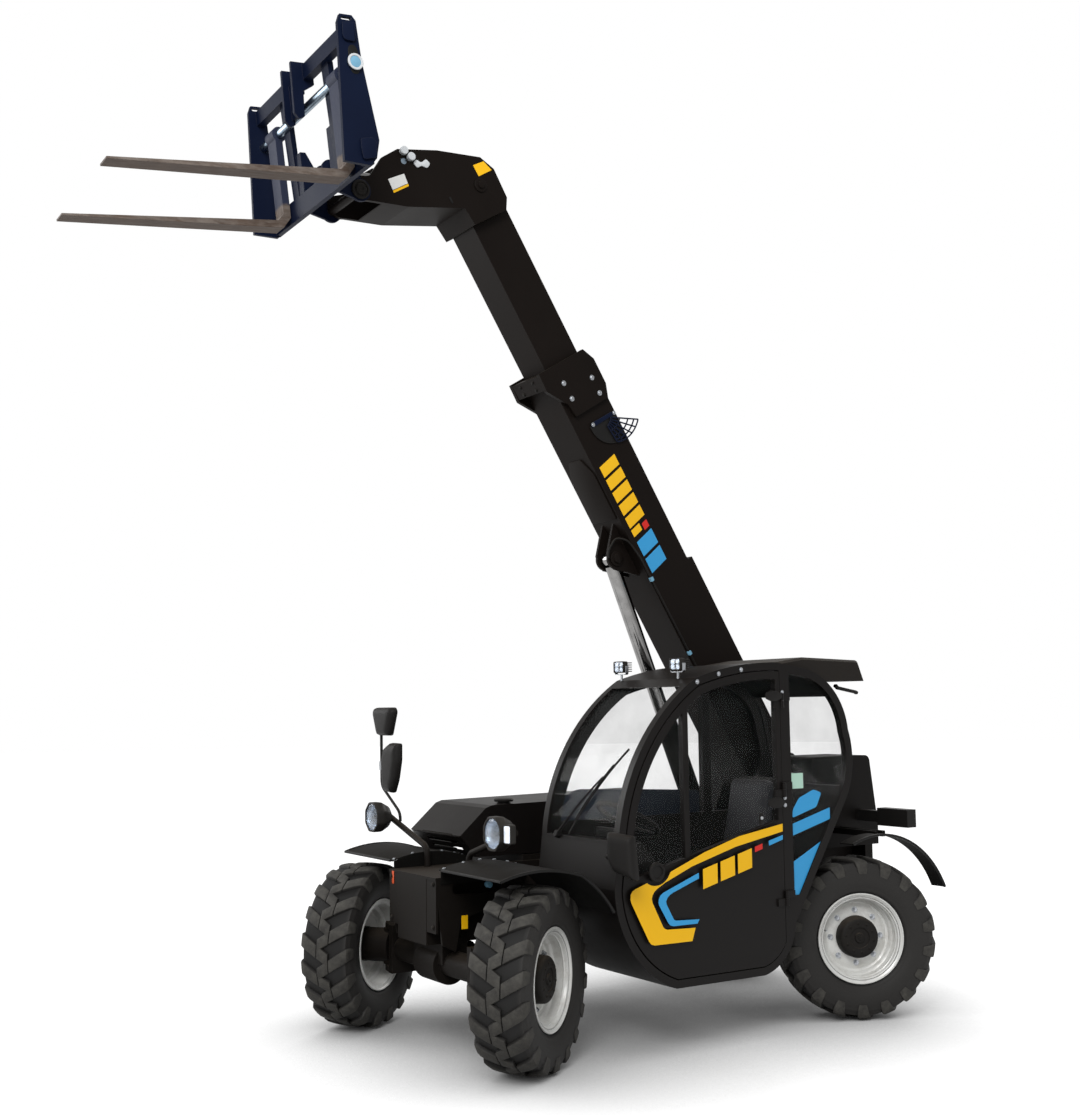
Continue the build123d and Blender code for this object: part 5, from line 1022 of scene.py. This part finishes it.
def facing(along):
    """A turn that takes the first axis to along: its columns are along and two directions across it."""
    a = np.asarray(along, float) / np.linalg.norm(along)
    b = np.cross(a, [0.31, 0.87, 0.38])
    b /= np.linalg.norm(b)
    return np.stack([a, b, np.cross(a, b)], 1)


def heads(spots, size, tall, along=(1, 0, 0), sides=6):
    """Bolt heads at spots in millimetres, standing along a direction."""
    head = carried([(2, 0, 0), (tall - 1.2, 0, 0), (tall, 0, 0)], circle(size, sides), scale=[1, 1, 0.86])
    washer = carried([(0, 0, 0), (2.5, 0, 0)], circle(size * 1.4, 16))
    return many(join(head, washer), spots, facing(along))


def discs(spots, profile, along=(1, 0, 0)):
    """The same turned profile of (along, radius) at several spots."""
    return many(turned(profile, 36, closed=False), spots, facing(along))


print("a bolt head has", len(heads([(0, 0, 0)], 10, 8)[0]), "points")

# %% [markdown]
# ## Boom
# The collar at the outer boom's mouth carries the wear pads, so its bolts are the ones a mechanic looks for
# first. Below it a half-round cover closes the place where hoses go inside, and a slotted fan keeps them from
# chafing when the boom slides. One steel pipe for the lift cylinder runs along the lower edge in two clips.

# %% Collar bolts, hose cover and fan
clip_blue = moulded("pale_blue_nylon", "#7FB2CC", "#6FA3BF", rough=0.45)           # injection moulded clips and caps
collar = [(2684, -191), (2630, 7), (2583, -188), (2529, 8)]
collar_bolts = [heads([(side * 166, u, v) for u, v in collar], 11.5, 9, along=(side, 0, 0), sides=20)
                for side in (1, -1)]
belly_bolts = heads([(x, u, -318) for x in (-67, 67) for u in (2718, 2765)], 8, 7, along=(0, 0, -1))
cover = np.concatenate([arc_through((2384, -147), (2224, -20), (2240, 64), 26), [(2384, 64)]])
lip = carried([(146, u, v) for u, v in arc_through((2384, -144), (2227, -20), (2243, 62), 26)], circle(4, 8),
              up=(1, 0, 0))
strap = flat(rounded([(2372, -140), (2400, -132), (2396, 40), (2372, 46)], 8), 10, rim=2)
fan_mid, fan_turn = (2400.0, -42.0), np.radians(np.linspace(119, 174, 6))


def fan_point(share, angle):
    """A place on the fan: share 0 at its root and 1 at its outer edge, which gets nearer as the angle grows."""
    r = 62 + share * (np.interp(angle, fan_turn, np.linspace(262, 176, 6)) - 62)
    return np.stack([np.full_like(r, 153.0), fan_mid[0] + r * np.cos(angle), fan_mid[1] + r * np.sin(angle)], -1)


ribs = [carried(fan_point(np.linspace(0, 1, 4), np.full(4, a)), oblong(9, 4, 1.5), up=(1, 0, 0)) for a in fan_turn]
arcs = [carried(fan_point(np.full(14, share), np.linspace(fan_turn[0], fan_turn[-1], 14)),
                oblong(4, 9, 1.5)[:, ::-1], up=(1, 0, 0)) for share in (0.0, 0.32, 0.62, 0.84, 1.0)]
piece("boom_collar_and_cover", "outer_boom",
      [(join(*collar_bolts, heads([(150, 2387, -125), (150, 2382, 50)], 9, 8, sides=20)), zinc),
       (belly_bolts, hub_iron), (laid(flat(rounded(cover, 3, 2), 5, rim=1.5), (140, 0, 0)), seal_rubber),
       (lip, black_plastic), (laid(strap, (142, 0, 0)), navy_enamel), (join(*ribs, *arcs), navy_enamel)],
      put=on_boom)

# %% Pipe, clips, stiffening plate, bosses and bars of colour
pipe_path = smooth_path([(149, 700, -236), (149, 1560, -246), (128, 1690, -256), (88, 1735, -300),
                         (84, 1690, -390), (80, 1655, -402)], 30, 5)
clips = [carried([(140, u, v), (158, u, v)], oblong(26, 22, 4), up=(0, 0, 1))
         for u, v in ((1415, -245), (901, -238))]
stiffener = flat(rounded([(-122, 1830), (122, 1830), (122, 2128), (62, 2236), (-62, 2236), (-122, 2128)], 14), 8,
                 rim=1.5)
boss = [(0, 46), (8, 46), (10, 43), (10, 30), (14, 28), (20, 28), (22, 25), (22, 0)]
piece("boom_pipe_and_bosses", "outer_boom",
      [(carried(pipe_path, circle(6, 12), up=(1, 0.2, 0)), hub_iron), (join(*clips), clip_blue),
       (laid(stiffener, (0, 0, -252), (2, 3, -1)), boom_enamel),
       *[(discs([(side * 64, 1620, -345)], boss, along=(side, 0, 0)), boom_enamel) for side in (1, -1)]],
      put=on_boom)
yellow_bars = [cut(o, BOOM_FACE) for o in slanted(1742, 2150, -214, -74, 22, 5, 17)]
low_bar = cut([(1684, -214), (1728, -214), (1740, -138), (1696, -138)], BOOM_FACE)
red_bar = cut([(1684, -122), (1728, -122), (1735, -78), (1691, -78)], BOOM_FACE)
blue_bars = [cut(o, BOOM_FACE) for o in slanted(1440, 1650, -214, -74, 22, 2, 19)]
piece("boom_bands", "outer_boom", [(join(*yellow_bars, low_bar), yellow_film), (red_bar, red_film),
                                   (join(*blue_bars), blue_film)], put=on_boom)

# %% [markdown]
# ## Boom head and carriage
# The head is two thick cheeks with the tilt cylinder between them. Its auxiliary hydraulic couplings sit
# outside at the front. The carriage is welded plate: its corner pads are what an attachment locks on to.

# %% Boom head
white_cap = moulded("white_dust_cap", "#D9DCDE", "#C4C8CB", rough=0.4)             # soft caps over the couplings
coupling = [(0, 20), (10, 20), (12, 17), (12, 23), (26, 23), (29, 20), (29, 0)]
yoke_plate = flat(rounded([(4140, -440), (4150, -412), (4122, -392), (4131, -352), (4098, -340), (4082, -372),
                           (4108, -398), (4104, -428)], 12), 8, rim=2)
grommet = flat(oblong(38, 13, 6, (3876, -322)), 3, rim=1)
base_boss = [(0, 40), (6, 40), (8, 37), (8, 22), (12, 20), (16, 20), (17, 17), (17, 0)]
piece("head_fittings", "inner_boom",
      [(discs([(170, 4216, -464), (170, 4171, -440)], coupling), white_cap),
       (discs([(170, 4168, -486)], [(0, 17), (2, 17), (3, 14), (3, 0)]), shaft_steel),
       (laid(yoke_plate, (170, 0, 0)), white_cap), (laid(grommet, (170, 0, 0)), seal_rubber),
       *[(discs([(side * 170, 3882, -98)], base_boss, along=(side, 0, 0)), boom_enamel) for side in (1, -1)],
       (cut([(3998, -82), (3994, -4), (3932, 20), (3930, -80)], HEAD_FACE), yellow_film),
       (cut([(4115, -629), (4107, -521), (4052, -527), (4053, -634)], HEAD_FACE), white_film),
       (cut([(4050, -634), (4049, -527), (4037, -529), (4036, -636)], HEAD_FACE), yellow_film)], put=on_boom)

# %% Carriage pads, shaft ends and pivot caps
pads = [flat(rounded(o, 10), 15, rim=3)
        for o in ([(222, 686), (154, 692), (156, 606), (166, 592), (218, 596), (229, 620)],
                  [(193, 99), (124, 112), (106, 88), (112, 8), (188, -6), (196, 49)])]
keyhole = flat(rounded([(142, 470), (150, 560), (165, 580), (190, 578), (202, 556), (206, 470), (190, 432),
                        (158, 432)], 12), 2, rim=0.5)
hub_ring = [(0, 52), (10, 52), (13, 48), (13, 39), (9, 37), (9, 33), (15, 31), (18, 27), (18, 12), (15, 9), (15, 0)]
parts = []
for side in (1, -1):
    face = {"at": (side * 630, 0, 0), "order": (side, 2, 3)}
    parts += [(laid(join(*pads), **face), navy_enamel), (laid(keyhole, **face), seal_rubber),
              (discs([(side * 644, 174, 488)], [(0, 29), (2, 29), (3, 27), (3, 0)], along=(side, 0, 0)), clip_blue),
              (discs([(side * 644, 174, 488)], [(0, 42), (3, 42), (5, 40), (5, 31), (2, 29), (0, 29)],
                     along=(side, 0, 0)), white_cap),
              (discs([(side * 196, 0, 0)], hub_ring, along=(side, 0, 0)), hub_iron)]
piece("carriage_pads", "carriage", parts, put=on_forks)

# %% [markdown]
# ## Nose and mudguards
# The nose is a box of folded plate that the front axle hangs from. The mudguards are bolted along its edge,
# and each has a rubber bead pressed over its rim so that the sheet doesn't show a raw edge.

# %% Nose
NOSE_FRONT, AXLE_Z = -1370, 457.5
guard_top = [(-1330, 972), (-1215, 996), (-1120, 1004), (-1030, 998), (-950, 982), (-900, 967)]
rows_of_bolts = [heads([(side * 292, y, z) for y, z in guard_top], 8, 7, along=(0, 0, 1), sides=12)
                 for side in (1, -1)]
nose_bolts = heads([(x, NOSE_FRONT, z) for x in (-240, 240) for z in (670, 890)], 9, 8, along=(0, -1, 0))
strip = flat(rounded([(-236, 850), (-212, 850), (-212, 918), (-236, 918)], 2), 1, rim=0.3)
piece("nose_fittings", "chassis",
      [(join(*rows_of_bolts), zinc), (nose_bolts, hub_iron),
       (laid(strip, (0, NOSE_FRONT, 0), (2, -1, 3)), amber_film),
       (discs([(270, -1000, 898)], [(0, 19), (34, 19), (38, 15), (38, 0)]), white_cap),
       (discs([(270, -1062, 872)], [(0, 17), (30, 17), (34, 13), (34, 0)]), clip_blue),
       (cut([(-1218, 652), (-1180, 652), (-1180, 722), (-1218, 722)], NOSE_FACE, radius=2), yellow_film)])

# %% Rubber beads round the mudguards


def guard_arc(axle_y, radius, start, end, count):
    """Points of a mudguard's rim: an arc about its axle between two angles in degrees."""
    a = np.radians(np.linspace(start, end, count))
    return np.stack([axle_y + radius * np.cos(a), AXLE_Z + radius * np.sin(a)], 1)


front_rim = np.concatenate([guard_arc(-1200, 595, 31, 58, 10),
                            arc_through((-884.6, 962), (-1120, 1001), (-1350, 965), 16)[1:]])
rear_rim = guard_arc(1200, 581, 25, 112, 26)
beads = []
for side in (1, -1):
    for rim in (front_rim, rear_rim):
        beads.append(carried([(side * 902, y, z) for y, z in rim], rounded([(-7, -6), (7, -6), (7, 6), (-7, 6)], 3),
                             up=(1, 0, 0)))
    beads.append(carried([(side * x, -1349, 965) for x in np.linspace(300, 902, 6)],
                         rounded([(-6, -6), (6, -6), (6, 6), (-6, 6)], 3), up=(0, 0, 1)))
piece("guard_beads", "chassis", [(join(*beads), seal_rubber)])

# %% [markdown]
# ## Cab
# Small steel things catch the light on a black cab: the bolts over the door, its hinges and its lock. The
# wiper's arm and blade rest on the curved windscreen, so their path is read off the glass itself.

# %% Hinges, lock, bolts and wiper
arch_bolts = heads([(900, y, z) for y, z in ((-122, 1924), (26, 1967), (185, 1990))], 9, 8, sides=16)
pillar_bolts = heads([(900, 478, z) for z in (1866, 1826, 1284, 1244)], 8, 7, sides=16)
hinge_shape = rounded([(-62, -14), (-20, -30), (30, -26), (58, -12), (58, 12), (30, 26), (-20, 30), (-62, 14)], 12)
hinges = join(*[flat(hinge_shape + [392, z], 6, rim=2) for z in (1845, 1262)])
lock = flat(rounded([(262, 1150), (290, 1150), (290, 1214), (262, 1214)], 12), 9, rim=3)
piece("door_fittings", "door",
      [(laid(join(hinges, lock), (DOOR_FACE, 0, 0)), black_plastic),
       (discs([(DOOR_FACE, -438, 948)], [(0, 50), (9, 50), (14, 46), (14, 36), (6, 33), (6, 0)]), black_plastic),
       (discs([(DOOR_FACE + 8, 276, 1186)], [(0, 9), (5, 9), (7, 7), (7, 0)]), zinc)])

screen = (np.array([v.co for v in frame["nodes"]["windscreen"].data.vertices]) - [0, AXLE_MID, 0]) / MM
outer = screen[screen[:, 1] < np.polyval(np.polyfit(screen[:, 2], screen[:, 1], 5), screen[:, 2])]
outer = outer[np.argsort(outer[:, 2])]
step = np.linspace(0, 1, 18)


def on_screen(x, z, out):
    """Points out millimetres in front of the windscreen at heights z."""
    return np.stack([x, np.interp(z, outer[:, 2], outer[:, 1]) - out, z], -1)


def blade(part, out):
    """A part of the blade's line over the windscreen."""
    return on_screen(440 + 350 * part, 1120 + 455 * part, out)


wiper = join(carried(blade(step, 9), oblong(7, 14, 3), up=(1, 0, 0)),
             carried(blade(step[3:-3], 20), circle(4, 8), up=(1, 0, 0)),
             carried(on_screen(340 + 330 * step, 1110 + 320 * step, 26 - 5 * step), circle(6, 8), up=(1, 0, 0),
                     scale=1.3 - 0.5 * step),
             carried([(800, y, z) for y, z in ((982, 1905), (1000, 1890), (1140, 1866), (1152, 1860))],
                     oblong(18, 26, 6), up=(1, 0, 0)))
knob = discs(on_screen(np.array([340.0]), np.array([1112.0]), 4), [(0, 22), (26, 20), (30, 16), (30, 0)],
             along=(0, -1, 0.3))
piece("cab_fittings", "chassis", [(join(arch_bolts, pillar_bolts), zinc), (join(wiper, knob), black_plastic)])

# %% [markdown]
# ## Inside the cab
# Black trim hides the lower part of the wall beside the boom, and lines the rear quarter. The steering
# wheel's rim is a ring of moulded polyurethane on three spokes.

# %% Trim, wheel and levers
trim_blue = moulded("blue_black_trim", "#0C131D", "#101A28", rough=0.45, shine=0.3)     # vacuum formed ABS lining
seat_low, seat_high = (np.array(corner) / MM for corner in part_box("seat"))
mid_x = (seat_low[0] + seat_high[0]) / 2
GRIP_R, GRIP_THICK, COLUMN = 175, 14, (0, 0.5, 0.866)         # the last is the steering column's direction
rim_turn, hub_at = facing(COLUMN), np.array([mid_x, -330.0, 1193.2])
section = circle(GRIP_THICK, 14) + [0, GRIP_R]
rim = many(turned(section, 60), [hub_at], rim_turn)
spokes = [carried([hub_at + rim_turn @ np.array([-6 + 4 * t, (30 + 138 * t) * np.cos(a), (30 + 138 * t) * np.sin(a)])
                   for t in (0, 0.5, 1)], oblong(24, 10, 4), up=COLUMN) for a in (0.5, 2.6, 4.7)]
centre = discs([hub_at], [(-9, 40), (3, 40), (7, 36), (7, 0)], along=COLUMN)
piece("steering_rim", "chassis", [(join(rim, *spokes, centre), black_plastic)], replaces=("steering_wheel",))
side_trim = flat(rounded([(-540, 1090), (430, 1090), (430, 1300), (-60, 1325), (-440, 1340), (-556, 1290),
                          (-570, 1180)], 30), 8, rim=3)
lever = carried([(330, -150, 700), (330, -160, 820), (335, -170, 930)], circle(7, 10), up=(1, 0, 0))
grip = carried([(335, -170, 925), (336, -172, 950), (337, -175, 1000), (338, -178, 1020)], oblong(44, 38, 14),
               up=(1, 0, 0), scale=[0.6, 1, 1, 0.7])
gauges = flat(rounded([(420, 1092), (650, 1092), (640, 1150), (430, 1150)], 18), 30, rim=8)
piece("cab_trim", "chassis", [(laid(side_trim, (200, 0, 0)), trim_blue),
                              (join(lever, grip, laid(gauges, (0, -470, 0), (2, 1, 3))), black_plastic)])

# %% [markdown]
# The seat is foam in a sewn cover. Each cushion starts as a slightly small block, and cloth simulation blows
# it up as foam does in a tight cover. It never leaves the box that the drawing gives the seat.

# %% Seat cushions


def as_it_is(made):
    """A copy of the object's mesh with its modifiers done, and its points as an array."""
    mesh = bpy.data.meshes.new_from_object(made.evaluated_get(bpy.context.evaluated_depsgraph_get()))
    made.modifiers.clear()
    return mesh, np.array([v.co for v in mesh.vertices])


def cushion(name, shape, cap):
    """Foam in a cover: a block is remeshed and blown up as cloth, and each point moves cap metres at most."""
    made = piece(name, "chassis", [(shape, seat_vinyl)])
    remesh = made.modifiers.new("even", "REMESH")
    remesh.mode, remesh.voxel_size = "VOXEL", 0.006
    bpy.context.view_layer.update()
    made.data, before = as_it_is(made)
    cloth = made.modifiers.new("foam", "CLOTH")
    cloth.settings.use_pressure, cloth.settings.uniform_pressure_force = True, 4.0
    cloth.settings.effector_weights.gravity = 0.0
    cloth.point_cache.frame_end = 20
    for tick in range(1, 21):
        bpy.context.scene.frame_set(tick)
    blown, after = as_it_is(made)
    far = np.linalg.norm(after - before, axis=1, keepdims=True)
    after = before + (after - before) * np.minimum(1, cap / np.maximum(far, 1e-9))
    low, high = (np.array(corner) + margin for corner, margin in zip(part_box("seat"), (MM, -MM)))
    blown.vertices.foreach_set("co", np.clip(after, low, high).astype(np.float32).ravel())
    blown.polygons.foreach_set("use_smooth", np.ones(len(blown.polygons), bool))
    made.data = blown
    bpy.context.scene.frame_set(1)


def leaning(shape):
    """The shape's (forward, across, up the backrest) where the backrest is, leaning back with the seat."""
    a = radians(9.8)
    turn = np.array([[0, -cos(a), sin(a)], [1, 0, 0], [0, sin(a), cos(a)]])
    return shape[0] @ turn + [mid_x, 505, 818], shape[1]


base = flat(rounded([(-215, -205), (215, -205), (215, 205), (-215, 205)], 46), 84, rim=22, steps=5)
back = flat(rounded([(-195, 0), (195, 0), (170, 560), (-170, 560)], 46), 66, rim=22, steps=5)
cushion("seat_cushion", laid(base, (mid_x, 260, 714), (2, 3, 1)), 0.012)
cushion("seat_back", leaning(back), 0.010)
shell = flat(rounded([(-205, -10), (205, -10), (180, 572), (-180, 572)], 50), 8, rim=3)
rails = [carried([(mid_x + x, 60, 703), (mid_x + x, 480, 703)], oblong(30, 6, 2), up=(0, 0, 1))
         for x in (-150, 150)]
piece("seat_shell", "chassis", [(join(leaning(laid(shell, (-9, 0, 0))), *rails), black_plastic)],
      replaces=("seat",))

# %% [markdown]
# ## Hood and tail
# The hood's front undercut carries slats for the radiator's air, and its lower edge has lost its paint. The
# tail lamps have a grey reflector half and a red half.

# %% Hood and tail lamps
slats = [carried([(x, -863 - 105 * (z - 960) / 124 - 5, z) for x in np.linspace(-612, -358, 5)], oblong(14, 5, 2),
                 up=(0, 0.5, 1)) for z in (1034, 1000, 968)]
edge_strip = carried([(x, -962, 1080) for x in np.linspace(-770, -205, 9)], oblong(8, 10, 3), up=(0, 0, 1))
filler = [(0, 40), (8, 40), (8, 34), (14, 34), (14, 54), (24, 58), (30, 54), (33, 40), (33, 0)]
piece("hood_fittings", "hood", [(join(*slats), black_plastic), (edge_strip, frame_enamel),
                                (discs([(-262, -640, 1244)], filler, along=(0, 0, 1)), black_plastic)])
tail_low, tail_high = ((np.array(corner) - [0, AXLE_MID, 0]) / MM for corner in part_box("tail_lamps"))
print("tail lamps", tail_low.round(), tail_high.round())
LENS_WIDE, LENS_EDGE = 30, 6
lenses = []
for outer_x, inwards in ((tail_high[0] - LENS_EDGE, -1), (tail_low[0] + LENS_EDGE, 1)):
    for place, paint in ((0, red_lens), (1, reflector)):
        ends = outer_x + inwards * LENS_WIDE * np.array([place, place + 1])
        left, right = ends.min() + 2, ends.max() - 2
        low, high = tail_low[2] + 10, tail_high[2] - 10
        pane = flat(rounded([(left, low), (right, low), (right, high), (left, high)], 5), 5, rim=2)
        lenses.append((laid(pane, (0, tail_high[1], 0), (-2, 1, 3)), paint))
piece("tail_lenses", "chassis", lenses)

# %% [markdown]
# ## Measure
# The dressed machine has to stay inside the CAD box, so the box round everything shown is measured.

# %% Sizes
low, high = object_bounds()
